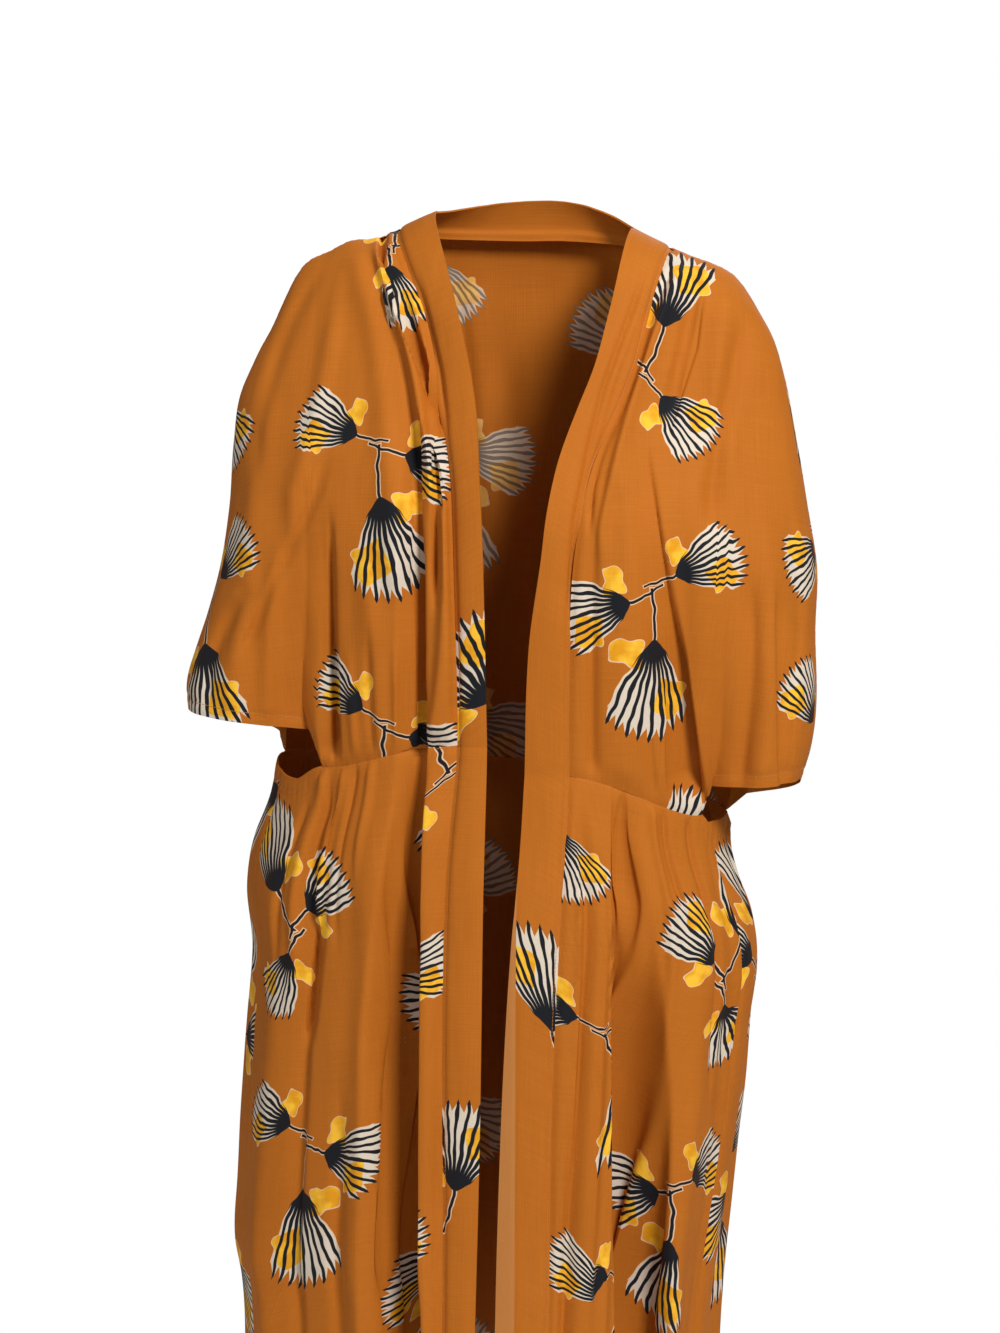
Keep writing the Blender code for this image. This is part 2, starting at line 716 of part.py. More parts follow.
def skirt_back_rows():
    start = SIDE_SEAM_ANGLE + clear_angle(SEAM_GAP / 2)
    end = 360.0 - SIDE_SEAM_ANGLE - clear_angle(SEAM_GAP / 2)
    return skirt_rows(lambda share: start, lambda share: end, COLUMNS_SKIRT_BACK)


def upper_band_lines(name):
    return [edge_of_band(name, row / ROWS_BODICE) for row in range(ROWS_BODICE + 1)]


def lower_band_lines(name):
    return [skirt_band_lines(name, row / ROWS_SKIRT) for row in range(ROWS_SKIRT + 1)]


def shifted(lines, which, dz):
    """Band lines with one of their ends moved up or down, clear of the piece that they meet."""
    seam, edge = lines[which]
    lines[which] = tuple((x, y, z + dz) for x, y, z in (seam, edge))
    return lines


def front_clear(lines):
    """The top of a front band moved clear of the shoulder, in front of the back neck band."""
    lines[0] = tuple((x, y - SEAM_GAP / 2, z) for x, y, z in lines[0])
    return lines


def cloth_material(name, colour):
    made = bpy.data.materials.new(name)
    made.use_nodes = True
    shader = made.node_tree.nodes["Principled BSDF"]
    shader.inputs["Base Color"].default_value = colour
    shader.inputs["Roughness"].default_value = CLOTH_ROUGHNESS
    shader.inputs["Metallic"].default_value = CLOTH_METALLIC
    made.diffuse_color = colour
    return made


def cloth_piece(name, rows, collection, colour):
    """A cloth wall on a grid of points, made as an open surface with its thickness added."""
    across = len(rows[0])
    points = [p for row in rows for p in row]
    faces = []
    for r in range(len(rows) - 1):
        for c in range(across - 1):
            a = r * across + c
            faces.append((a, a + 1, a + across + 1, a + across))
    mesh = bpy.data.meshes.new(name)
    mesh.from_pydata(points, [], faces)
    mesh.shade_smooth()
    piece = bpy.data.objects.new(name, mesh)
    mesh.materials.append(cloth_material(f"{name}_cloth", colour))
    collection.objects.link(piece)
    wall = piece.modifiers.new("wall", "SOLIDIFY")
    wall.thickness = WALL
    wall.offset = 0.0
    wall.use_even_offset = False
    return piece


def build():
    for old in list(bpy.data.objects):
        bpy.data.objects.remove(old, do_unlink=True)
    coat = bpy.data.collections.new("kimono_coat")
    bpy.context.scene.collection.children.link(coat)
    for name in ("left", "right"):
        cloth_piece(f"bodice_front_{name}", bodice_half(name, False), coat, CLOTH_COLOUR)
        cloth_piece(f"skirt_front_{name}", skirt_front_rows(name), coat, CLOTH_COLOUR)
    cloth_piece("bodice_back", bodice_back_rows(), coat, CLOTH_COLOUR)
    cloth_piece("skirt_back", skirt_back_rows(), coat, CLOTH_COLOUR)

    left_upper = front_clear(shifted(upper_band_lines("left"), -1, SEAM_GAP / 2))
    cloth_piece("band_left_upper", strip_rows(left_upper, 1), coat, BAND_COLOUR)
    left_lower = shifted(lower_band_lines("left"), 0, -SEAM_GAP / 2)
    cloth_piece("band_left_lower", strip_rows(left_lower, 1), coat, BAND_COLOUR)
    right = front_clear(upper_band_lines("right")) + lower_band_lines("right")[1:]
    cloth_piece("band_right", strip_rows(right, 1), coat, BAND_COLOUR)
    neck = [back_neck_lines(step) for step in range(-COLUMNS_NECK, COLUMNS_NECK + 1)]
    for end in (0, -1):
        neck[end] = tuple((x, y + SEAM_GAP / 2, z) for x, y, z in neck[end])
    cloth_piece("band_back_neck", strip_rows(neck, -1, NECK_SLACK), coat, BAND_COLOUR)


build()
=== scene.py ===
"""Looks of the kimono coat: printed woven cloth, plain bands, hems and stitches, on the forms of the frame.

X runs to the viewer's right, the front faces -Y and Z is up, in metres, with the origin midway between
the neck points. Left and right are the viewer's. Every piece of cloth is a fine grid on the same
surface as its solid, with the smaller creases added, and carries a flat map in metres of cut cloth.
Tables made with in_metres are written in millimetres, and all other sizes in metres.
"""

import math
from bisect import bisect_right
from collections import namedtuple
from functools import lru_cache

import bpy
import numpy as np
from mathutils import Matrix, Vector, noise


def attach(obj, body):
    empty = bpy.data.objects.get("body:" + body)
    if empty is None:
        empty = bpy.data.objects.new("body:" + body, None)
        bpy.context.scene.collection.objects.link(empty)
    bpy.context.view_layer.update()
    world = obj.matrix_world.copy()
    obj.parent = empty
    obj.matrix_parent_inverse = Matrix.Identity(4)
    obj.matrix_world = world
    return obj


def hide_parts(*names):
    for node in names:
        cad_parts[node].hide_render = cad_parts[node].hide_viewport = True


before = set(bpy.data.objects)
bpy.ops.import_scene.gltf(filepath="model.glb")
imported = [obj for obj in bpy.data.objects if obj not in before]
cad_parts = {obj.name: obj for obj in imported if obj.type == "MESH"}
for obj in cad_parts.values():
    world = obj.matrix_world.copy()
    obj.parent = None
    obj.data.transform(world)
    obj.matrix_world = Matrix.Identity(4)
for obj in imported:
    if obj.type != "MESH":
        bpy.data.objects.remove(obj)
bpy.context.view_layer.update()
bpy.ops.object.select_all(action="DESELECT")

# Levels and depths of the whole coat
SEAM_PLANE_Y = -0.012
SLEEVE_PLANE_Y = -0.030
HEM_Z = -1.22
CHEST_DEPTH = 0.112
BACK_DEPTH = 0.118
SHOULDER_RADIUS = 0.055
SHOULDER_SHARE = 0.5
SHOULDER_LIMIT = 0.4
CHEST_DROP = 0.25
LENS_POWER = 2.3

# The level front of the waist seam, the side seam, and the end of the bodice back at the waist
FLAT_WAIST_ANGLE = 11.5
SIDE_SEAM_ANGLE = 74.0
BACK_END_ANGLE = 98.0

# How far the front of a cuff hangs below the straight line from its inner to its outer end
CUFF_FRONT_DIP = 0.001

# How much closer the columns lie towards the tip of the shoulder, from 0 to 1
TIP_CLOSENESS = 0.6

# The share of a side's height at which the body narrows to the waist, and how late it does so
NARROWS_FROM = 0.40
NARROWS_LATE = 1.8

# The depth and drop at which the bodice's folds are full, and how they flatten at the lower edge
FOLD_DEPTH = 0.03
FOLD_DROP = 0.02
FOLD_FLATTENS_FROM = 0.955
FOLD_FLATTENED = 0.6
FOLD_SEWN_FLAT = 1.0

# The back neck
NECK_SEAM_HALF_DEPTH = 0.072
NECK_EDGE_HALF_DEPTH = 0.060
NECK_SEAM_BACK_Z = -0.020
NECK_EDGE_BACK_Z = 0.010
BAND_CROWN = 0.0015
# How far the free edge of a front band stands before its seam: everywhere, more over the chest, hem
BAND_FORWARD = 0.002
BAND_CHEST_FORWARD = 0.006
BAND_HEM_FORWARD = 0.004
# How fast it comes forward over the chest and goes back again, by shares of the way to the waist
BAND_CHEST_RISE = 4
BAND_CHEST_FALL = 1.5
BAND_CHEST_FALL_FROM = 0.5
# Degrees of the skirt, and metres of the bodice, over which the folds rise beside a front band
BAND_FLATNESS = 3.0
BAND_EASE = 0.008

# Steps of the tables that the surfaces are worked out from, as in the solids
ROWS_BODICE = 17
COLUMNS_TORSO = 13
COLUMNS_EDGE = 1
COLUMNS_CUFF = 8
COLUMNS_NECK = 5
COLUMNS_HALF = COLUMNS_TORSO + COLUMNS_EDGE + COLUMNS_CUFF


def as_given(kind, *rows):
    """Named rows from plain ones."""
    return tuple(kind(*row) for row in rows)


def in_metres(kind, *rows):
    """Named rows in metres, from plain ones in millimetres."""
    return as_given(kind, *([value / 1000 for value in row] for row in rows))


Edge = namedtuple("Edge", "z x")
Section = namedtuple("Section", "z reach front back")

# The arm opening reaches down to the waist: the front's edge of it starts at the pinch angle, the
# skirt's top is free from there to the end of the back, and inner points are where the cuffs begin.
# Each size has its value on the left and on the right
SIDE_ROWS = (
    ("sign", -1, 1),
    ("neck_x", -0.084, 0.085),
    ("neck_z", -0.002, -0.018),
    ("seam_x", -0.118, 0.119),
    ("seam_z", -0.016, -0.034),
    ("waist_front_z", -0.453, -0.476),
    ("waist_pinch_z", -0.477, -0.515),
    ("waist_dip_z", -0.490, -0.522),
    ("waist_side_z", -0.474, -0.518),
    ("waist_back_z", -0.478, -0.496),
    ("pinch_angle", 49.0, 65.0),
    ("front_inner", (-0.187, -0.068, -0.4455), (0.161, -0.061, -0.4885)),
    ("back_inner", (-0.236, 0.028, -0.458), (0.182, 0.020, -0.504)),
    ("outer_z", -0.430, -0.484),
    ("front_round", 0.030, 0.026),
    ("back_round", 0.060, 0.036),
    ("back_dip", 0.010, 0.010),
)
names, left_values, right_values = zip(*SIDE_ROWS)
Side = namedtuple("Side", names)
SIDES = {"left": Side(*left_values), "right": Side(*right_values)}

# The shoulder seam, from the band to the tip of the shoulder
SHOULDER = {
    "left": in_metres(
        Edge,
        (-16, -118), (-24, -139), (-26, -160), (-34, -178), (-45, -200), (-58, -210),
    ),
    "right": in_metres(
        Edge,
        (-34, 119), (-41, 136), (-48, 155), (-58, 172), (-72, 183), (-85, 190),
    ),
}

# The outline over the arm, from the tip of the shoulder to the outer end of the cuff
OVERARM = {
    "left": in_metres(
        Edge,
        (-58, -210), (-98, -228), (-133, -246), (-165, -258), (-199, -262), (-257, -265), (-304, -272),
        (-346, -284), (-381, -296), (-409, -303), (-430, -301),
    ),
    "right": in_metres(
        Edge,
        (-85, 190), (-108, 204), (-143, 215), (-192, 225), (-248, 235), (-308, 245), (-360, 244),
        (-423, 245), (-460, 240), (-484, 232),
    ),
}

# Where the band is sewn to the fronts, and its free edge, from the neck point to the hem
BAND_SEAM = {
    "left": in_metres(
        Edge,
        (-16, -118), (-55, -98), (-97, -80), (-180, -60), (-230, -51), (-296, -48), (-453, -48),
        (-566, -56), (-956, -58), (-1220, -63),
    ),
    "right": in_metres(
        Edge,
        (-34, 119), (-68, 112), (-97, 106), (-136, 98), (-171, 86), (-212, 70), (-255, 60), (-294, 53),
        (-391, 48), (-514, 45), (-622, 40), (-750, 35), (-950, 33), (-1220, 30),
    ),
}
BAND_EDGE = {
    "left": in_metres(
        Edge,
        (-2, -84), (-40, -68), (-79, -55), (-163, -32), (-246, -24), (-296, -22.5), (-451, -22),
        (-582, -23.5), (-752, -25), (-953, -29), (-1220, -34),
    ),
    "right": in_metres(
        Edge,
        (-18, 85), (-68, 79), (-97, 73.5), (-136, 65), (-171, 53), (-212, 40), (-255, 31.5),
        (-294, 26.5), (-366, 15.6), (-477, 9.7), (-547, 6.4), (-624, 0.5), (-727, -5.5), (-882, -10.6),
        (-1220, -15),
    ),
}

# Sections of the skirt at the level of the side seam, from the middle of the coat
SKIRT = {
    "left": in_metres(
        Section,
        (-474, 229, 115, 98),
        (-500, 234, 117, 106),
        (-540, 247, 121, 115),
        (-588, 254, 125, 124),
        (-640, 249, 128, 130),
        (-705, 254, 130, 133),
        (-850, 263, 132, 135),
        (-905, 265, 134, 135),
        (-940, 259, 135, 136),
        (-1000, 256, 137, 138),
        (-1220, 262, 142, 145),
    ),
    "right": in_metres(
        Section,
        (-518, 167, 115, 98),
        (-544, 168, 118, 106),
        (-583, 180, 122, 116),
        (-610, 190, 125, 122),
        (-652, 194, 128, 130),
        (-700, 188, 130, 133),
        (-760, 182, 131, 134),
        (-825, 173, 132, 135),
        (-960, 156, 136, 137),
        (-1220, 152, 142, 145),
    ),
}
SECTION_MIDDLE_Y = -0.003

# Folds of the bodice: three places down the crest, how far it runs to either side, its height, and
# the length over which it ends
Fold = namedtuple("Fold", "x1 z1 x2 z2 x3 z3 to_left to_right height fade")
BODICE_FOLDS = {
    "bodice_front_left": in_metres(
        Fold,
        (-133, -29, -82, -150, -72, -455, 6, 16, 9, 30),
        (-150, -30, -118, -140, -100, -300, 12, 12, 5, 40),
        (-160, -280, -160, -370, -163, -478, 14, 6, -9, 80),
        (-225, -140, -232, -260, -250, -430, 14, 14, 5, 80),
        (-125, -300, -120, -380, -118, -460, 10, 10, 4, 50),
    ),
    "bodice_front_right": in_metres(
        Fold,
        (135, -45, 112, -120, 90, -220, 10, 12, 5, 30),
        (172, -70, 168, -130, 172, -200, 12, 12, 5, 40),
        (140, -270, 141, -380, 143, -510, 12, 12, -6, 80),
        (205, -250, 214, -360, 205, -480, 10, 10, 5, 60),
        (100, -200, 95, -330, 92, -470, 16, 16, 4, 80),
    ),
    "bodice_back": in_metres(
        Fold,
        (-120, -60, -110, -240, -95, -470, 18, 14, 8, 60),
        (-45, -120, -40, -300, -45, -480, 14, 18, 6, 80),
        (30, -100, 40, -300, 36, -490, 18, 14, 7, 80),
        (110, -70, 100, -260, 90, -490, 14, 18, 8, 60),
        (-215, -130, -225, -270, -240, -440, 16, 16, 7, 60),
        (-178, -200, -166, -340, -165, -480, 14, 14, -10, 80),
        (190, -150, 195, -290, 190, -470, 14, 14, 7, 60),
        (135, -250, 136, -380, 138, -500, 14, 14, -8, 80),
    ),
}

# Folds of the skirt: degrees round it from the middle of the front, with the right side positive.
# A fold rises over a share of the skirt's height, and is full at another share of it
PLEAT_RISE = 0.07
PLEAT_FULL_AT = 0.625
Pleat = namedtuple("Pleat", "at_waist at_hem begin to_left to_right height_top height_hem")
SKIRT_FOLDS = as_given(
    Pleat,
    (-17.8, -15.6, 0, 1, 3, 0.005, 0.008),
    (-21, -19, 0, 2.2, 1.9, -0.006, -0.018),
    (-29, -29, 0.05, 4, 4, 0.003, 0.01),
    (-45.7, -50, 0, 3, 1.8, -0.009, -0.006),
    (-58, -61, 0.05, 6, 6, 0.003, 0.009),
    (-88, -86, 0.04, 7, 5, 0.003, 0.005),
    (20, 15.5, 0.02, 1.8, 2.2, -0.004, -0.008),
    (28, 29, 0.1, 7, 2.4, 0.002, 0.01),
    (38, 40, 0.1, 3, 5, -0.003, -0.012),
    (52, 55, 0.05, 5.5, 5.5, 0.003, 0.01),
    (68, 72, 0.05, 5, 5, -0.003, -0.006),
    (97, 96, 0, 5, 5, -0.004, -0.014),
    (112, 113, 0, 5.5, 5.5, 0.005, 0.016),
    (127, 130, 0, 5, 5, -0.004, -0.014),
    (143, 146, 0, 6, 5, 0.006, 0.018),
    (160, 161, 0, 5, 5.5, -0.004, -0.015),
    (176, 178, 0, 6, 6, 0.006, 0.016),
    (192, 194, 0, 5, 5, -0.005, -0.016),
    (207, 210, 0, 5.5, 6, 0.006, 0.018),
    (222, 226, 0, 5, 5, -0.004, -0.014),
    (238, 242, 0, 6, 5, 0.005, 0.016),
    (254, 258, 0, 5, 5, -0.004, -0.012),
)


# Creases that are too fine for the solids, in the same columns
BODICE_CREASES = {
    "bodice_front_left": in_metres(
        Fold,
        (-103, -70, -74, -165, -64, -300, 3, 6, -8.5, 50),
        (-122, -30, -98, -115, -68, -215, 6, 4, 5.1, 50),
        (-99, -120, -86, -180, -78, -300, 5, 4, -5.1, 60),
        (-76, -300, -77, -380, -78, -453, 6, 3, -8.5, 80),
        (-187, -60, -209, -110, -230, -190, 10, 8, -4.3, 50),
        (-164, -90, -173, -163, -192, -240, 8, 10, 4.3, 60),
        (-238, -330, -256, -360, -272, -400, 8, 8, -6.8, 50),
        (-206, -300, -214, -370, -218, -440, 9, 8, 5.1, 60),
        (-124, -370, -124, -420, -123, -462, 4, 4, -3.4, 50),
        (-142, -390, -141, -430, -140, -466, 4, 4, 2.6, 50),
        (-100, -380, -101, -420, -102, -456, 3, 4, 2.6, 50),
    ),
    "bodice_front_right": in_metres(
        Fold,
        (121, -60, 96, -120, 66, -240, 4, 3, -8.5, 40),
        (129, -60, 101, -150, 76, -270, 3, 6, 5.1, 50),
        (146, -65, 140, -95, 130, -150, 5, 4, -3.4, 40),
        (180, -105, 171, -170, 163, -235, 6, 9, -6.8, 50),
        (226, -270, 232, -345, 226, -420, 6, 5, -5.1, 60),
        (195, -320, 196, -395, 188, -470, 8, 6, -4.3, 60),
        (68, -300, 66, -400, 65, -480, 4, 6, -5.1, 80),
        (112, -400, 113, -440, 114, -486, 4, 4, -2.6, 50),
        (127, -410, 127, -450, 127, -495, 4, 5, 2.6, 50),
    ),
    "bodice_back": in_metres(
        Fold,
        (-140, -70, -128, -180, -120, -330, 6, 8, -5.9, 60),
        (-85, -60, -75, -160, -70, -290, 8, 7, 5.1, 60),
        (-20, -300, -16, -400, -18, -480, 5, 6, -4.3, 60),
        (10, -330, 9, -420, 8, -485, 5, 5, 3.4, 60),
        (72, -60, 74, -180, 70, -320, 7, 8, -5.1, 60),
        (145, -90, 140, -200, 128, -340, 8, 6, 5.1, 60),
        (-250, -260, -262, -340, -262, -420, 8, 8, -5.1, 60),
        (222, -240, 226, -340, 218, -430, 7, 7, -5.1, 60),
        (-60, -400, -60, -440, -61, -480, 4, 4, -2.6, 50),
        (60, -400, 61, -440, 62, -490, 4, 4, -2.6, 50),
    ),
}

# Deep folds, where the cloth on one side of an edge hangs in front of the cloth past it
Tuck = namedtuple("Tuck", "edge towards depth_top depth_foot reach_top reach_foot fades_in fades_out")
# The length over which the cloth turns back at the edge, and the share of the reach that is deepest
TUCK_TURN = 0.004
TUCK_FLAT = 0.40
# The lengths over which a deep fold begins and ends, and reaches its depth at the foot
TUCK_FADE = 0.05
TUCK_FADE_FOOT = 0.028
TUCK_DEEPENS = 0.27
# How far the hidden cloth runs back under the edge, as a share of the depth
TUCK_UNDER = 0.35
# Beside the side edge of a piece its deep folds are held flat over this length
SIDE_HELD = 0.035


def tuck(places, towards, depths, reaches, fades_in=True, fades_out=True):
    """A deep fold, in millimetres: its edge, the side that steps back, its depth and reach at both ends."""
    sizes = [size / 1000 for size in (*depths, *reaches)]
    return Tuck(in_metres(Edge, *places), towards, *sizes, fades_in, fades_out)


TUCKS = {
    "bodice_front_left": (
        tuck(((5, -149), (-91, -106), (-140.5, -83), (-180, -70), (-260, -64)), 1, (11, 9), (15, 12)),
        tuck(((-165, -78), (-296, -73.5), (-455, -73.6)), -1, (6, 13), (18, 30), fades_out=False),
        tuck(((-250, -160.5), (-376, -163.1), (-474, -165)), 1, (4, 11), (10, 14)),
        tuck(((-200, -165), (-241, -176), (-309, -211), (-390, -250)), 1, (3, 3), (16, 16)),
    ),
    "bodice_front_right": (
        tuck(((-180, 110), (-220, 117.3), (-296, 131), (-379, 144.7), (-508, 158)), -1, (3, 17), (26, 36)),
        tuck(((-60, 155), (-120, 150), (-200, 128)), -1, (3, 3), (22, 22)),
        tuck(((-300, 214), (-334, 215), (-500, 218)), 1, (3, 4), (14, 14)),
    ),
    "skirt_front_left": (
        tuck(
            ((-455, -73.6), (-540, -76.3), (-668, -77.4), (-1220, -79)), -1, (13, 37), (30, 56),
            fades_in=False, fades_out=False,
        ),
        tuck(((-480, -160), (-560, -172), (-720, -190)), 1, (5, 6), (16, 16)),
    ),
    "skirt_front_right": (
        tuck(
            ((-479, 79.9), (-614, 82.8), (-749, 84.9), (-1220, 88.5)), 1, (4, 40), (26, 48),
            fades_out=False,
        ),
    ),
}
# How far across its panel each deep fold of the skirt lies
CLOSE_AT = {"left": 0.07, "right": 0.31}
# Creases along the bands, where they roll
Groove = namedtuple("Groove", "edge depth reach")
BAND_GROOVES = {
    "band_left_upper": (
        Groove(in_metres(Edge, (-50, -93), (-81, -83), (-136, -66), (-200, -52)), 0.0030, 0.0030),
    ),
    "band_right": (
        Groove(in_metres(Edge, (-40, 106), (-80, 96), (-155, 73), (-262, 54), (-360, 48)), 0.0034, 0.0032),
        Groove(in_metres(Edge, (-80, 103), (-113, 96), (-180, 76), (-260, 60)), 0.0022, 0.0040),
    ),
}

# Gathers and creases of the skirt: degrees round it and shares of its height at both ends
Crease = namedtuple("Crease", "at_top share_top at_foot share_foot to_left to_right height")
# How far past its ends and its sides a crease is worked out, and the shares of it that fade
CREASE_BEYOND = 0.2
CREASE_REACHES = 3
CREASE_TOP_FADE = 0.25
CREASE_FOOT_FADE = 0.5
SKIRT_CREASES = as_given(
    Crease,
    (-33, 0, -32.5, 0.16, 0.9, 1.1, 0.0032),
    (-37.5, 0, -38.5, 0.24, 1, 1, -0.0036),
    (-41, 0, -42, 0.13, 0.9, 0.9, 0.0029),
    (-47.5, 0, -54, 0.3, 1.6, 1.4, 0.0054),
    (-52, 0.02, -60, 0.26, 1.4, 1.6, -0.0043),
    (-24.5, 0.03, -24, 0.6, 0.9, 0.9, -0.0027),
    (-26.5, 0.3, -26, 1, 1.2, 1.2, 0.0036),
    (-35.5, 0.34, -37, 1, 1.6, 2.2, -0.0045),
    (-13.8, 0.1, -13.5, 1, 0.6, 0.8, -0.0025),
    (17.2, 0.02, 17, 0.55, 0.7, 0.9, 0.0032),
    (24, 0.05, 24.5, 0.7, 1.2, 1, -0.0032),
    (33, 0, 33.5, 0.2, 1.2, 1.2, -0.0032),
    (43, 0, 44, 0.34, 1.6, 1.4, 0.004),
    (47.5, 0, 48.5, 0.18, 1.3, 1.3, -0.0036),
    (58.5, 0, 62, 0.4, 1.8, 1.6, -0.0043),
    (45, 0.3, 47, 1, 1.8, 1.6, -0.0047),
    (92, 0, 92, 0.3, 1.4, 1.4, 0.0036),
    (105, 0, 105, 0.22, 1.3, 1.5, -0.0036),
    (120, 0, 121, 0.3, 1.5, 1.3, 0.0036),
    (135, 0, 136, 0.18, 1.3, 1.3, -0.0032),
    (152, 0, 153, 0.26, 1.4, 1.5, 0.0036),
    (168, 0, 168, 0.2, 1.3, 1.3, -0.0032),
    (184, 0, 185, 0.28, 1.4, 1.4, 0.0036),
    (200, 0, 201, 0.2, 1.3, 1.4, -0.0032),
    (215, 0, 217, 0.26, 1.5, 1.4, 0.0036),
    (230, 0, 232, 0.22, 1.4, 1.3, -0.0036),
    (247, 0, 249, 0.3, 1.5, 1.5, 0.0036),
    (263, 0, 264, 0.22, 1.3, 1.4, -0.0032),
)


def mix(a, b, share):
    return a + (b - a) * share


def ease(share):
    """From 0 to 1 with a soft start and end, for one number."""
    share = min(max(share, 0.0), 1.0)
    return share * share * (3 - 2 * share)


def smooth(share):
    """The same for an array."""
    share = np.clip(share, 0.0, 1.0)
    return share * share * (3 - 2 * share)


def half_turn(angle):
    """The same angle, from -180 to 180 degrees."""
    return (angle + 180.0) % 360.0 - 180.0


@lru_cache(maxsize=None)
def curve(rows, column, by):
    """Two columns of a table as keys that rise, their values, and the slopes between them."""
    keys = [getattr(row, by) for row in rows]
    values = [getattr(row, column) for row in rows]
    if keys[0] > keys[-1]:
        keys, values = keys[::-1], values[::-1]
    steps = [(b - a) / (k - j) for a, b, j, k in zip(values, values[1:], keys, keys[1:])]
    return keys, values, steps


def read(rows, column, by, at):
    """A column of a table at a value of another column, on a smooth curve through its rows."""
    keys, values, steps = curve(rows, column, by)
    at = min(max(at, keys[0]), keys[-1])
    last = len(keys) - 1
    i = min(bisect_right(keys, at), last) - 1
    before = steps[max(i - 1, 0)]
    after = steps[min(i + 1, last - 1)]
    span = keys[i + 1] - keys[i]
    slope_in = (before + steps[i]) / 2 * span
    slope_out = (after + steps[i]) / 2 * span
    t = (at - keys[i]) / span
    return (
        values[i] * (2 * t**3 - 3 * t**2 + 1)
        + slope_in * (t**3 - 2 * t**2 + t)
        + values[i + 1] * (3 * t**2 - 2 * t**3)
        + slope_out * (t**3 - t**2)
    )


def fold_line(fold, z):
    """The X of a fold's crest at a level, on the parabola through its three places."""
    a = (z - fold.z2) * (z - fold.z3) / ((fold.z1 - fold.z2) * (fold.z1 - fold.z3))
    b = (z - fold.z1) * (z - fold.z3) / ((fold.z2 - fold.z1) * (fold.z2 - fold.z3))
    c = (z - fold.z1) * (z - fold.z2) / ((fold.z3 - fold.z1) * (fold.z3 - fold.z2))
    return a * fold.x1 + b * fold.x2 + c * fold.x3


def bell(distance, to_left, to_right):
    """The height across a fold, from 1 on its crest."""
    reach = to_left if distance < 0 else to_right
    return math.exp(-((distance / reach) ** 2))


def bodice_fold_height(name, x, z):
    """How far the folds and creases of a piece of the bodice stand out at a place."""
    total = 0.0
    for fold in BODICE_FOLDS[name] + BODICE_CREASES[name]:
        shown = ease((fold.z1 - z) / fold.fade + 0.5) * ease((z - fold.z3) / fold.fade + 1.0)
        if shown > 0:
            level = min(max(z, fold.z3), fold.z1)
            across = x - fold_line(fold, level)
            total += fold.height * shown * bell(across, fold.to_left, fold.to_right)
    return total


def skirt_fold_height(angle, share):
    """How far the folds of the skirt stand out, at an angle and a share of the way down."""
    total = 0.0
    for pleat in SKIRT_FOLDS:
        away = half_turn(angle - mix(pleat.at_waist, pleat.at_hem, share))
        shown = ease((share - pleat.begin) / PLEAT_RISE)
        height = mix(pleat.height_top, pleat.height_hem, min(share / PLEAT_FULL_AT, 1.0))
        total += height * shown * bell(away, pleat.to_left, pleat.to_right)
    return total


def side_at(angle):
    """The side that an angle round the skirt lies on."""
    return "left" if half_turn(angle) < 0 else "right"


def waist_z(angle):
    """The level of the waist seam round the coat, and of the skirt's free edge under the arm."""
    turned = abs(half_turn(angle))
    side = SIDES[side_at(angle)]
    pinch = side.pinch_angle
    dip = (pinch + SIDE_SEAM_ANGLE) / 2
    if turned <= pinch:
        share = (turned - FLAT_WAIST_ANGLE) / (pinch - FLAT_WAIST_ANGLE)
        return mix(side.waist_front_z, side.waist_pinch_z, ease(share))
    if turned <= dip:
        return mix(side.waist_pinch_z, side.waist_dip_z, ease((turned - pinch) / (dip - pinch)))
    if turned <= BACK_END_ANGLE:
        share = ease((turned - dip) / (BACK_END_ANGLE - dip))
        return mix(side.waist_dip_z, side.waist_side_z, share)
    middle_back = (SIDES["left"].waist_back_z + SIDES["right"].waist_back_z) / 2
    share = ease((turned - BACK_END_ANGLE) / (180.0 - BACK_END_ANGLE))
    return mix(side.waist_side_z, middle_back, share)


def skirt_point(angle, share, folded=True):
    """A point round the skirt, a share of the way from the waist seam to the hem."""
    name = side_at(angle)
    side = SIDES[name]
    level = mix(side.waist_side_z, HEM_Z, share)
    reach = read(SKIRT[name], "reach", "z", level)
    turn = math.radians(angle)
    column = "front" if math.cos(turn) > 0 else "back"
    depth = read(SKIRT[name], column, "z", level)
    out = skirt_fold_height(angle, share) if folded else 0.0
    if column == "front":
        out *= ease((abs(angle) - abs(band_seam_angle(name, share))) / BAND_FLATNESS)
    x = (reach + out) * math.sin(turn)
    y = SECTION_MIDDLE_Y - (depth + out) * math.cos(turn)
    return (x, y, mix(waist_z(angle), HEM_Z, share))


def band_seam_angle(name, share):
    """The angle round the skirt at which the band is sewn on."""
    side = SIDES[name]
    x = read(BAND_SEAM[name], "x", "z", mix(side.waist_front_z, HEM_Z, share))
    reach = read(SKIRT[name], "reach", "z", mix(side.waist_side_z, HEM_Z, share))
    return math.degrees(math.asin(x / reach))


def top_of_front(name, share):
    """The shoulder seam, from the band to the tip of the shoulder."""
    rows = SHOULDER[name]
    x = mix(rows[0].x, rows[-1].x, share)
    return (x, SEAM_PLANE_Y, read(rows, "z", "x", x))


def round_neck(turn, end_x, end_z, half_depth, back_z):
    """A point of a line round the back of the neck, by a turn from the middle of the back."""
    across = math.sin(turn)
    return (end_x * across, SEAM_PLANE_Y + half_depth * math.cos(turn), mix(back_z, end_z, across**2))


def neck_seam(name, turn):
    side = SIDES[name]
    return round_neck(turn, side.seam_x, side.seam_z, NECK_SEAM_HALF_DEPTH, NECK_SEAM_BACK_Z)


def top_of_back(name, share, neck_share):
    """The back neck seam and then the shoulder seam, from the middle of the back."""
    if share >= neck_share:
        return top_of_front(name, (share - neck_share) / (1 - neck_share))
    return neck_seam(name, math.pi / 2 * share / neck_share)


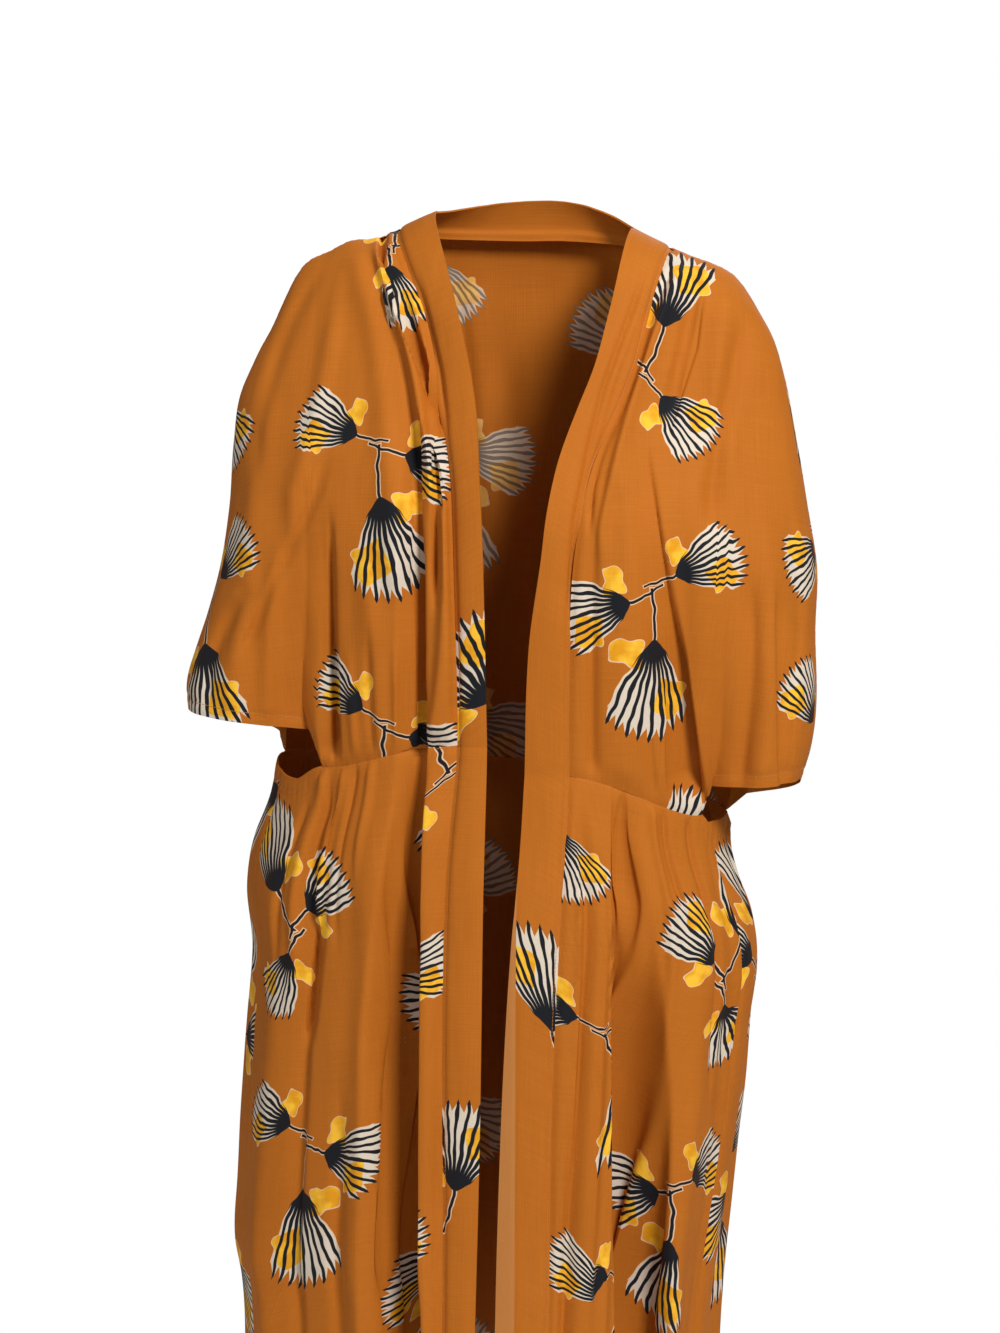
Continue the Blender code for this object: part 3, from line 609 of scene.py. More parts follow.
def cuff_point(name, share, back):
    """The hem of the sleeve, from its inner end to its outer end, round the front or the back."""
    side = SIDES[name]
    inner = side.back_inner if back else side.front_inner
    bulge = side.back_round if back else -side.front_round
    dip = side.back_dip if back else CUFF_FRONT_DIP
    quarter = math.pi / 2 * share
    round_off = math.sin(2 * quarter)
    return (
        mix(inner[0], OVERARM[name][-1].x, math.sin(quarter)),
        mix(SLEEVE_PLANE_Y, inner[1], math.cos(quarter)) + bulge * round_off,
        mix(inner[2], side.outer_z, math.sin(quarter)) - dip * round_off,
    )


def foot_of_bodice(name, column, back):
    """The lower boundary: the waist seam, the edge of the arm opening and the cuff, by column."""
    side = SIDES[name]
    end = (BACK_END_ANGLE if back else side.pinch_angle) * side.sign
    if column <= COLUMNS_TORSO:
        start = 180.0 * side.sign if back else band_seam_angle(name, 0.0)
        return skirt_point(mix(start, end, column / COLUMNS_TORSO), 0.0, folded=False)
    column -= COLUMNS_TORSO
    if column <= COLUMNS_EDGE:
        corner = skirt_point(end, 0.0, folded=False)
        inner = cuff_point(name, 0.0, back)
        return tuple(mix(a, b, column / COLUMNS_EDGE) for a, b in zip(corner, inner))
    return cuff_point(name, (column - COLUMNS_EDGE) / COLUMNS_CUFF, back)


def drop_of(share, height):
    """How far down a column lies, with its points closer over the round of the shoulder."""
    radius = min(SHOULDER_RADIUS, height * SHOULDER_LIMIT)
    length = height - radius + radius * math.pi / 2
    run = share * length
    if run < radius * math.pi / 2:
        return radius * (1 - math.cos(run / radius))
    return radius + run - radius * math.pi / 2


def share_at_top(share):
    """The place of a column along the top, with columns closer towards the tip of the shoulder."""
    return mix(share, math.sin(math.pi / 2 * share), TIP_CLOSENESS)


def bodice_point(name, back, column, row):
    """A point of one half of the bodice, with its sleeve, by column from the middle and row."""
    share = column / COLUMNS_HALF
    top_share = share_at_top(share)
    if back:
        top = top_of_back(name, top_share, share_at_top(COLUMNS_NECK / COLUMNS_HALF))
    else:
        top = top_of_front(name, top_share)
    foot = foot_of_bodice(name, column, back)
    height = top[2] - foot[2]
    drop = drop_of(row / ROWS_BODICE, height)
    down = drop / height
    z = top[2] - drop
    outer_rows = OVERARM[name]
    outer_z = mix(outer_rows[0].z, outer_rows[-1].z, down)
    outer = read(outer_rows, "x", "z", outer_z) - mix(outer_rows[0].x, outer_rows[-1].x, down)
    x = mix(top[0], foot[0], down) + share * outer
    if not back:
        seam_rows = BAND_SEAM[name]
        waist_x = read(seam_rows, "x", "z", SIDES[name].waist_front_z)
        seam_z = mix(seam_rows[0].z, SIDES[name].waist_front_z, down)
        bend = read(seam_rows, "x", "z", seam_z) - mix(seam_rows[0].x, waist_x, down)
        x += (1 - share) * bend
    plane = mix(SEAM_PLANE_Y, SLEEVE_PLANE_Y, down)
    reach = abs(read(outer_rows, "x", "z", outer_z))
    lens = max(1 - min(abs(x) / reach, 1.0) ** LENS_POWER, 0.0) ** (1 / LENS_POWER)
    full = (BACK_DEPTH if back else CHEST_DEPTH) * lens
    round_off = math.sqrt(1 - (1 - min(drop / SHOULDER_RADIUS, 1.0)) ** 2)
    rise = SHOULDER_SHARE * round_off + (1 - SHOULDER_SHARE) * ease(drop / CHEST_DROP)
    depth = mix(abs(top[1] - SEAM_PLANE_Y), full, rise)
    foot_depth = foot[1] - SLEEVE_PLANE_Y if back else SLEEVE_PLANE_Y - foot[1]
    narrowed = max((down - NARROWS_FROM) / (1 - NARROWS_FROM), 0.0) ** NARROWS_LATE
    depth = mix(depth, foot_depth, narrowed)
    piece = "bodice_back" if back else f"bodice_front_{name}"
    most = mix(FOLD_SEWN_FLAT, FOLD_FLATTENED, ease((column - COLUMNS_TORSO) / 2))
    flattened = most * ease((down - FOLD_FLATTENS_FROM) / (1 - FOLD_FLATTENS_FROM))
    held = min(depth / FOLD_DEPTH, 1.0) * ease(drop / FOLD_DROP) * (1 - flattened)
    if not back:
        held *= ease(abs(x - read(BAND_SEAM[name], "x", "z", z)) / BAND_EASE)
    depth += bodice_fold_height(piece, x, z) * held
    return (x, plane + (depth if back else -depth), z)


def edge_of_band(name, share):
    """The seam and the free edge of a front band, a share of the way from the neck to the waist."""
    seam = bodice_point(name, False, 0, share * ROWS_BODICE)
    side = SIDES[name]
    down = (side.seam_z - seam[2]) / (side.seam_z - side.waist_front_z)
    edge_z = mix(side.neck_z, side.waist_front_z, down)
    edge_x = read(BAND_EDGE[name], "x", "z", edge_z)
    over_chest = ease(down * BAND_CHEST_RISE) * (1 - ease(down * BAND_CHEST_FALL - BAND_CHEST_FALL_FROM))
    forward = BAND_FORWARD + BAND_CHEST_FORWARD * over_chest
    return seam, (edge_x, seam[1] - forward, edge_z)


def skirt_band_lines(name, share):
    """The seam and the free edge of a band below the waist."""
    side = SIDES[name]
    seam = skirt_point(band_seam_angle(name, share), share)
    edge_x = read(BAND_EDGE[name], "x", "z", seam[2])
    forward = mix(BAND_FORWARD, BAND_HEM_FORWARD, share)
    return seam, (edge_x, seam[1] - forward, seam[2])


def back_neck_lines(step):
    """The seam and the free edge of the band round the neck, at a column of the back below it."""
    name = "left" if step < 0 else "right"
    side = SIDES[name]
    share = share_at_top(abs(step) / COLUMNS_HALF)
    turn = math.pi / 2 * share / share_at_top(COLUMNS_NECK / COLUMNS_HALF)
    edge = round_neck(turn, side.neck_x, side.neck_z, NECK_EDGE_HALF_DEPTH, NECK_EDGE_BACK_Z)
    return neck_seam(name, turn), edge


# Finer grids than the solids': cells for each of their columns and rows
FINE_COLUMNS = 7
FINE_ROWS = 8
SKIRT_ROWS = 150
SKIRT_FRONT_COLUMNS = 150
SKIRT_BACK_COLUMNS = 290
BAND_COLUMNS = 22
BAND_ROWS = 190
NECK_ROWS = 60

# Thickness of one layer of cloth as drawn, and of the bands, which are folded double and turned in
CLOTH_THICKNESS = 0.0006
BAND_THICKNESS = 0.0016

# Hems, in metres: how wide they are turned up, and the dent that a line of stitches presses
CUFF_HEM = 0.010
FOOT_HEM = 0.022
ARM_EDGE_HEM = 0.013
STITCH_DENT = 0.0006
STITCH_DENT_REACH = 0.0022
HEM_STEP = 0.0004
HEM_STEP_LENGTH = 0.0006
SEAM_DENT = 0.0008
SEAM_DENT_REACH = 0.0035
# Puckers beside stitches: two waves of different length make them uneven, in turns for each length
PUCKER = 0.0004
PUCKER_LENGTH = 0.011
HEM_WAVES = (2 * math.pi, 2.3)
SEAM_WAVES = (2.9 * math.pi, 3.1)
SEAM_PUCKER_SHARE = 0.7

# Where a band is sewn on, the cloth of both sinks into a valley
BAND_VALLEY = 0.0022
BAND_VALLEY_REACH = 0.0045

# How far from its seam a band is stitched, and how far below its seam the skirt is
BAND_STITCH_IN = 0.0018
WAIST_STITCH_IN = 0.0014
# Shares of a seam's relief over the arm and on a band, and of a dent's reach on a band
OVERARM_SEAM = 0.6
BAND_SEAM_RELIEF = 0.7
BAND_DENT_REACH = 0.6
# The columns over which the cuff's hem begins
CUFF_BEGINS = 0.6

# Seam allowances, turned inside: how far past the seam they reach, and how far in
ALLOWANCE = 0.0035
ALLOWANCE_IN = 0.0022
# At a corner the allowance widens over this many rows, from a small share of its width
CORNER_ROWS = 10
CORNER_SHARE = 0.02
# The hem of the skirt's free top: how wide it is turned in, how far in it lies, and how round it turns
TURNED_HEM = 0.010
TURNED_IN = 0.0011
TURNED_ROUND = 0.0003
# Beside a seam the cloth lies flat over this length
CALM_EDGE = 0.006

# The right band is turned over along its free edge below a level, up to an upright line, where it
# is pressed; the strip that is turned over shows the paler wrong side
TURNED_TOP_Z = -0.555
TURNED_LINE_X = 0.005
TURNED_MIDDLE_X = -0.0065
TURNED_HALF_WIDTH = 0.0115
TURNED_SLOPE = 0.14
TURNED_BEGINS = 0.02
TURNED_GROOVE = 0.0007
TURNED_GROOVE_REACH = 0.0012
TURNED_COLOUR = "#BE7A3C"

# Colours of the cloth and its inks
GROUND_DEEP = "#AC5E0E"
GROUND_LIGHT = "#C4701E"
OUTLINE = "#E6C09A"
CREAM = "#DCCDB9"
GOLD_DEEP = "#E29A16"
GOLD_BRIGHT = "#FBC035"
DARK = "#12161C"
THREAD_LIGHT = "#D08A45"

# The weave as drawn: its thread, how deep it is, and how slowly its streaks change along a thread
THREAD_DRAWN = 0.0011
WEAVE_DEPTH = 0.0003
WEAVE_STRENGTH = 0.5
WARP_STREAKS = 18.0
WEFT_STREAKS = 22.0
# Clouds in the dye and pools in the gold ink, and the values between which each changes
CLOUD_SCALE = 9.0
CLOUD_SHARE = 1.2
CLOUD_RANGE = (0.5, 2.7)
POOL_SCALE = 62.0
POOL_RANGE = (0.35, 0.65)
# How much of the print's strength is lost on the wrong side of the cloth
WRONG_SIDE_FADED = 0.35

# A panel of the skirt has its columns closer together beside its deep fold
CLOSER = 3.5
CLOSE_REACH = 0.06

# Thread and stitches
THREAD = 0.0005
STITCH_LENGTH = 0.0024
STITCH_PITCH = 0.0032
THREAD_SIDES = 6
TWIST_SCALE = 900.0
# Degrees over which the waist seam ends at the arm opening
FREE_EASE = 2.0

# The flat map of a piece, and the steps, rows and columns that its unwrapping takes
FLAT_MAP = "flat cloth"
UNWRAP_STEPS = 30
UNWRAP_ROWS = 36
UNWRAP_COLUMNS = 46
# Slight unevenness of the cloth of the bodice, the skirt and the bands: its size and its height
BODICE_CRUMPLE = (0.030, 0.0008)
SKIRT_CRUMPLE = (0.035, 0.0010)
BAND_CRUMPLE = (0.022, 0.0006)
CRUMPLE_STRETCH = 4
CRUMPLE_FINER = 2.3
# Edges of a sheet up to this angle, in degrees, are shaded smooth
SMOOTH_ANGLE = 50

# The cut of each piece that shows: its width and length, and its area in square metres
FRONT_CUTS = {"left": ((0.34, 0.50), 0.128), "right": ((0.30, 0.50), 0.105)}
BACK_CUT = ((0.62, 0.52), 0.29)
SKIRT_FRONT_CUTS = {"left": ((0.36, 0.77), 0.26), "right": ((0.31, 0.77), 0.22)}
SKIRT_BACK_CUT = ((0.72, 0.77), 0.51)

# The print, in metres of flat cloth: a half-drop repeat of leafy stems, cut off at seams and folds
INKS = ("Outline", "Cream", "Gold", "Dark")
REPEAT_WIDTH = 0.200
REPEAT_HEIGHT = 0.235
PRINT_SWING = 0.9
PRINT_SEED = 4.0
INK_EDGE = 0.00022
HAND_TREMBLE = 0.0052
TREMBLE_SCALE = 48.0
LEAF_LENGTH = 0.088
LEAF_SPREAD = 0.92
LEAF_CURL = 8.0
LEAF_LOBE = 0.55
LEAF_NOTCH = 0.30
LEAF_RIBS = 9
RIB_WIDTH = 0.0018
RIB_TAPER = 0.12
RIB_INSIDE = 0.0012
OUTLINE_WIDTH = 0.0010
STEM_LENGTH = 0.043
STEM_WIDTH = 0.0014
STEM_BEND = 3.5
GOLD_SPOTS = (((0.020, 0.052), 0.0155), ((-0.024, 0.012), 0.0125))
GOLD_WAVER = 0.020
WAVER_SCALE = 60.0
# Where each leaf of a stem lies: its base, its turn in degrees, and its size, mirrored if negative
LEAF_PLACES = (
    ((0.010, 0.014), -12.0, 1.0),
    ((-0.022, -0.010), 58.0, 0.80),
    ((0.012, -0.044), -134.0, -0.73),
)

# Leaves on the bands, in the flat map of the bands, which lie beside each other in it
BAND_ASIDE = {"band_left_upper": 0.0, "band_right": 0.1, "band_left_lower": 0.2, "band_back_neck": 0.3}
BAND_LEAF_PLACES = (
    ((0.034, -0.466), 30.0, 1.0),
    ((0.106, -0.705), -18.0, 0.95),
    ((0.216, -0.376), -10.0, 0.90),
)

# The camera and the studio
CAMERA_PLACE = (0.47275, -2.86138, -0.15652)
CAMERA_AIM = (-0.03083, -0.00544, -0.39435)
CAMERA_HEIGHT_ANGLE = 22.53
MATT_PAPER = "#F7F7F7"
WHITE = "#FFFFFF"
FLOOR_Z = -1.42
FLOOR_RADIUS = 1.5
FLOOR_FADES_FROM = 0.7
WORLD_LIGHT = 0.25
# Each lamp: its name, place, aim, size and power
LIGHTS = (
    ("key", (1.5, -2.2, 1.3), (0.0, 0.0, -0.5), 0.7, 92.0),
    ("fill", (-2.3, -2.0, 0.6), (0.0, 0.0, -0.6), 1.0, 15.0),
    ("back", (0.4, 2.6, 1.6), (0.0, 0.0, -0.4), 1.6, 46.0),
)

# Settings that several nodes share
ON_FLAT = {"noise_dimensions": "2D"}
OF_COLOURS = {"data_type": "RGBA"}


def skirt_crease_height(angle, share):
    """How far the gathers and creases of the skirt stand out, beside its folds."""
    total = 0.0
    for crease in SKIRT_CREASES:
        run = (share - crease.share_top) / (crease.share_foot - crease.share_top)
        if not -CREASE_BEYOND < run < 1 + CREASE_BEYOND:
            continue
        away = half_turn(angle - mix(crease.at_top, crease.at_foot, run))
        if -CREASE_REACHES * crease.to_left < away < CREASE_REACHES * crease.to_right:
            open_foot = 1.0 if crease.share_foot >= 1.0 else ease((1.0 - run) / CREASE_FOOT_FADE)
            open_top = 1.0 if crease.share_top <= 0.0 else ease(run / CREASE_TOP_FADE)
            total += crease.height * open_top * open_foot * bell(away, crease.to_left, crease.to_right)
    return total


def surface(rows, columns, point_at):
    """Points of a piece, for shares down it and across it, as an array of rows and columns."""
    points = np.empty((rows + 1, columns + 1, 3))
    for row in range(rows + 1):
        for column in range(columns + 1):
            points[row, column] = point_at(row / rows, column / columns)
    return points


def run_along(points, axis):
    """The length along the cloth from its first edge, down it or across it, at every point."""
    steps = np.linalg.norm(np.diff(points, axis=axis), axis=2)
    first = np.zeros_like(steps[:1] if axis == 0 else steps[:, :1])
    return np.concatenate([first, np.cumsum(steps, axis=axis)], axis=axis)


def normals_of(points, outward):
    """Unit normals of a grid of points, on the side that the outward vectors point to."""
    normals = np.cross(np.gradient(points, axis=0), np.gradient(points, axis=1))
    normals /= np.maximum(np.linalg.norm(normals, axis=2, keepdims=True), 1e-12)
    return normals * np.sign(np.sum(normals * outward))


def raised(points, outward, relief):
    """The points moved along their normals by a relief in metres."""
    return points + normals_of(points, outward) * relief[..., None]


def dent(distance, reach):
    """From 1 on a seam or a line of stitches to 0 beside it."""
    return np.exp(-((distance / reach) ** 2))


def puckers(along, waves, shift):
    """Uneven small waves along a line of stitches, from -1 to 1."""
    run = along / PUCKER_LENGTH
    return np.sin(run * waves[0]) * np.sin(run * waves[1] + shift)


def hem(distance, width, along):
    """The relief of a turned-up hem: thicker below its stitches, which press a puckered line."""
    pucker = puckers(along, HEM_WAVES, 1.0)
    near = dent(distance - width, 3 * STITCH_DENT_REACH)
    thicker = HEM_STEP * (1 / (1 + np.exp((distance - width) / HEM_STEP_LENGTH)))
    return thicker - STITCH_DENT * dent(distance - width, STITCH_DENT_REACH) + PUCKER * pucker * near


def seam(distance, along):
    """The relief beside a sewn seam, pressed flat and slightly puckered."""
    pucker = puckers(along, SEAM_WAVES, 0.0)
    near = dent(distance, 3 * SEAM_DENT_REACH)
    return PUCKER * SEAM_PUCKER_SHARE * pucker * near - SEAM_DENT * dent(distance, SEAM_DENT_REACH)


def calm(distance):
    """From 0 on a seam to 1 beside it."""
    return 1 - dent(distance, CALM_EDGE)


def crumple(points, size, height):
    """Slight unevenness of hanging cloth: long down the grain, short across it."""
    relief = np.empty(points.shape[:2])
    for row in range(points.shape[0]):
        for column in range(points.shape[1]):
            x, y, z = points[row, column]
            spot = Vector((x / size, y / size, z / size / CRUMPLE_STRETCH))
            relief[row, column] = noise.noise(spot) + 0.5 * noise.noise(spot * CRUMPLE_FINER)
    return relief * height


def flat_by_length(points, across_from=0.0):
    """The flat map of a straight piece: metres across it from a share of its width, and down it."""
    across = run_along(points, 1)
    start = across[:, :1] + (across[:, -1:] - across[:, :1]) * across_from
    flat = np.empty(points.shape[:2] + (2,))
    flat[..., 0] = across - start
    flat[..., 1] = -run_along(points, 0)
    return flat


def allowance(points, outward, last, corner=None):
    """The grid with one more column, past its first or last: a seam allowance, turned inside.

    It narrows to nothing towards a corner, given as a row, so that nothing of it sticks out there.
    """
    edge, before = (points[:, -1:], points[:, -2:-1]) if last else (points[:, :1], points[:, 1:2])
    past = edge - before
    past /= np.maximum(np.linalg.norm(past, axis=2, keepdims=True), 1e-9)
    normals = normals_of(points, outward)
    inward = -(normals[:, -1:] if last else normals[:, :1])
    held = np.ones(len(points))
    if corner is not None:
        held = smooth(abs(np.arange(len(points)) - corner) / CORNER_ROWS) + CORNER_SHARE
    extra = edge + (past * ALLOWANCE + inward * ALLOWANCE_IN) * held[:, None, None]
    return np.concatenate([points, extra] if last else [extra, points], axis=1)


def turned_top(points, flat, outward, free):
    """Two more rows above a skirt: a seam allowance where it is sewn, and a hem where it is free."""
    top = points[:1]
    past = top - points[1:2]
    past /= np.linalg.norm(past, axis=2, keepdims=True)
    inward = -normals_of(points, outward)[:1]
    free = free[None, :, None]
    folded = past * TURNED_ROUND + inward * TURNED_IN
    near = mix(past * ALLOWANCE / 2 + inward * ALLOWANCE_IN / 3, folded, free)
    far = mix(past * ALLOWANCE + inward * ALLOWANCE_IN, -past * TURNED_HEM + inward * TURNED_IN, free)
    rows = [flat[:1] + np.array((0.0, ALLOWANCE * share)) for share in (1.0, 0.5)]
    return np.concatenate([top + far, top + near, points]), np.concatenate([*rows, flat])


# Lines of stitches, kept while the pieces are made
SEWN_LINES = []


def mark_line(name, grid, outward, distance, at, cells=slice(None), down=False, thickness=CLOTH_THICKNESS):
    """Keeps a line of stitches: where a distance over the cloth reaches a value, on its right side."""
    normals = normals_of(grid, outward)
    if down:
        grid, normals, distance = grid.swapaxes(0, 1), normals.swapaxes(0, 1), distance.T
    places = []
    for spots, ups, reach in zip(grid[cells], normals[cells], distance[cells]):
        if reach[-1] < reach[0]:
            spots, ups, reach = spots[::-1], ups[::-1], reach[::-1]
        both = np.concatenate([spots + ups * thickness / 2, ups], axis=1)
        places.append([np.interp(at, reach, both[:, i]) for i in range(6)])
    SEWN_LINES.append((name, np.array(places)))


def x_along(edge, z):
    """The X of a line at each level, straight between its places."""
    return np.interp(-z, [-place.z for place in edge], [place.x for place in edge])


def tucked(points, outward, name, from_side):
    """The deep folds of a piece: past an edge that hangs in front, the cloth steps back and under it."""
    free_of_side = smooth(from_side / SIDE_HELD)
    for fold in TUCKS.get(name, ()):
        z = points[..., 2]
        first, last = fold.edge[0].z, fold.edge[-1].z
        past = (points[..., 0] - x_along(fold.edge, z)) * fold.towards
        deeper = smooth((first - z) / TUCK_DEEPENS)
        reach = mix(fold.reach_top, fold.reach_foot, deeper)
        rise = smooth(past / TUCK_TURN) * (1 - smooth((past / reach - TUCK_FLAT) / (1 - TUCK_FLAT)))
        shown = smooth((first - z) / TUCK_FADE) if fold.fades_in else 1.0
        if fold.fades_out:
            shown = shown * smooth((z - last) / TUCK_FADE_FOOT)
        depth = mix(fold.depth_top, fold.depth_foot, deeper) * shown * free_of_side
        points = points - normals_of(points, outward) * (depth * rise)[..., None]
        points[..., 0] -= fold.towards * TUCK_UNDER * depth * rise**2
    return points


def groove(points, edge, depth, reach):
    """The relief of a narrow crease along a line that is given by its X at each level."""
    z = points[..., 2]
    shown = smooth((edge[0].z - z) / TUCK_FADE) * smooth((z - edge[-1].z) / TUCK_FADE)
    return -depth * shown * dent(points[..., 0] - x_along(edge, z), reach)


def column_shares(columns, close_at):
    """Shares across a panel, closer together beside its deep fold."""
    even = np.linspace(0, 1, 1001)
    density = 1 + (CLOSER * dent(even - close_at, CLOSE_REACH) if close_at else 0 * even)
    run = np.concatenate([[0.0], np.cumsum((density[1:] + density[:-1]) / 2)])
    return np.interp(np.linspace(0, run[-1], columns + 1), run, even)


def values_of(items, name, width, kind=float):
    """A property of all the items of a mesh, with a row for each."""
    values = np.empty(len(items) * width, dtype=kind)
    items.foreach_get(name, values)
    return values.reshape(-1, width)


def cloth_grid(name, points, flat):
    """A sheet of cloth: a grid whose vertices are moved to a surface, with its flat map in metres."""
    rows, columns = points.shape[:2]
    bpy.ops.mesh.primitive_grid_add(x_subdivisions=columns - 1, y_subdivisions=rows - 1, size=1)
    piece = bpy.context.object
    piece.name = name
    mesh = piece.data
    mesh.name = name
    start = values_of(mesh.vertices, "co", 3)
    column = np.rint((start[:, 0] + 0.5) * (columns - 1)).astype(int)
    row = np.rint((0.5 - start[:, 1]) * (rows - 1)).astype(int)
    mesh.vertices.foreach_set("co", points[row, column].ravel())
    corners = values_of(mesh.loops, "vertex_index", 1, int)[:, 0]
    layer = mesh.uv_layers[0]
    layer.name = FLAT_MAP
    layer.uv.foreach_set("vector", flat[row[corners], column[corners]].ravel())
    mesh.update()
    return piece


def face_outward(piece, centre):
    """Turns a sheet over if most of it faces the upright line through a point of the plan."""
    total = 0.0
    for face in piece.data.polygons:
        away = Vector((face.center.x - centre[0], face.center.y - centre[1], 0.0))
        total += face.normal.dot(away) * face.area
    if total < 0:
        piece.data.flip_normals()


def finish_cloth(piece, thickness, materials):
    """Gives a sheet its two sides, and the materials of its right and wrong side."""
    for material in materials:
        piece.data.materials.append(material)
    bpy.ops.object.select_all(action="DESELECT")
    piece.select_set(True)
    bpy.context.view_layer.objects.active = piece
    wall = piece.modifiers.new("wall", "SOLIDIFY")
    wall.thickness = thickness
    wall.offset = 0.0
    wall.material_offset = len(materials) - 1
    bpy.ops.object.modifier_apply(modifier=wall.name)
    bpy.ops.object.shade_smooth_by_angle(angle=math.radians(SMOOTH_ANGLE))
    bpy.ops.object.select_all(action="DESELECT")


def filled(lines, known, count):
    """Each line of places, known at some steps along it, at every step."""
    steps = range(count)
    return np.array([np.transpose([np.interp(steps, known, line[:, i]) for i in (0, 1)]) for line in lines])


def laid_flat(points):
    """Lays a curved piece out flat with the least stretch, on fewer points, upright and in metres."""
    rows = np.linspace(0, points.shape[0] - 1, UNWRAP_ROWS).round().astype(int)
    columns = np.linspace(0, points.shape[1] - 1, UNWRAP_COLUMNS).round().astype(int)
    coarse = points[np.ix_(rows, columns)]
    pattern = cloth_grid("pattern", coarse, np.zeros(coarse.shape[:2] + (2,)))
    bpy.ops.object.mode_set(mode="EDIT")
    bpy.ops.mesh.select_all(action="SELECT")
    bpy.ops.uv.unwrap(method="MINIMUM_STRETCH", iterations=UNWRAP_STEPS, margin=0.0)
    bpy.ops.object.mode_set(mode="OBJECT")
    mesh = pattern.data
    corners = values_of(mesh.loops, "vertex_index", 1, int)[:, 0]
    loose = values_of(mesh.uv_layers[0].uv, "vector", 2)
    by_vertex = np.empty((len(mesh.vertices), 2))
    by_vertex[corners] = loose
    area = sum(face.area for face in mesh.polygons)
    quads = loose.reshape(-1, 4, 2)
    ahead = np.roll(quads, -1, axis=1)
    flat_area = abs(np.sum(quads[..., 0] * ahead[..., 1] - quads[..., 1] * ahead[..., 0])) / 2
    flat = by_vertex.reshape(UNWRAP_ROWS, UNWRAP_COLUMNS, 2)[::-1] * math.sqrt(area / flat_area)
    flat -= flat.mean(axis=(0, 1))
    upright = coarse[..., (0, 2)]
    middle = upright.mean(axis=(0, 1))
    u, _, v = np.linalg.svd(flat.reshape(-1, 2).T @ (upright - middle).reshape(-1, 2))
    flat = flat @ (u @ v) + middle
    bpy.data.objects.remove(pattern)
    across = filled(flat, columns, points.shape[1])
    return filled(across.swapaxes(0, 1), rows, points.shape[0]).swapaxes(0, 1)


# Materials
def srgb(code):
    """A colour written as a hexadecimal sRGB value, as linear red, green, blue and alpha."""
    parts = [int(code[i:i + 2], 16) / 255 for i in (1, 3, 5)]
    return tuple(c / 12.92 if c <= 0.04045 else ((c + 0.055) / 1.055) ** 2.4 for c in parts) + (1.0,)


def add(tree, kind, settings=None, links=None):
    """Adds a node with its settings, and links or sets its inputs. A node stands for its first output."""
    made = tree.nodes.new(kind)
    for key, value in (settings or {}).items():
        setattr(made, key, value)
    for key, value in (links or {}).items():
        if isinstance(value, bpy.types.Node):
            value = value.outputs[0]
        if isinstance(value, bpy.types.NodeSocket):
            tree.links.new(value, made.inputs[key])
        else:
            made.inputs[key].default_value = value
    return made


def maths(tree, steps, values):
    """Works out a list of (name, operation, terms), where a term is a number or the name of a value."""
    for name, operation, *terms in steps:
        given = (values[term] if isinstance(term, str) else term for term in terms)
        values[name] = add(tree, "ShaderNodeMath", {"operation": operation}, dict(enumerate(given)))
    return values


def edge_mask(tree, distance, beyond=0.0):
    """One where a distance is below a bound, and nought above it, with a soft edge of ink on cloth."""
    bounds = {0: distance, 1: beyond + INK_EDGE, 2: beyond - INK_EDGE}
    return add(tree, "ShaderNodeMapRange", {"interpolation_type": "SMOOTHSTEP"}, bounds)


def print_group(name):
    """A group, with its input, that turns a place on the flat cloth into the strength of each ink."""
    tree = bpy.data.node_groups.new(name, "ShaderNodeTree")
    tree.interface.new_socket("Flat", in_out="INPUT", socket_type="NodeSocketVector")
    for ink in INKS:
        tree.interface.new_socket(ink, in_out="OUTPUT", socket_type="NodeSocketFloat")
    return tree, add(tree, "NodeGroupInput")


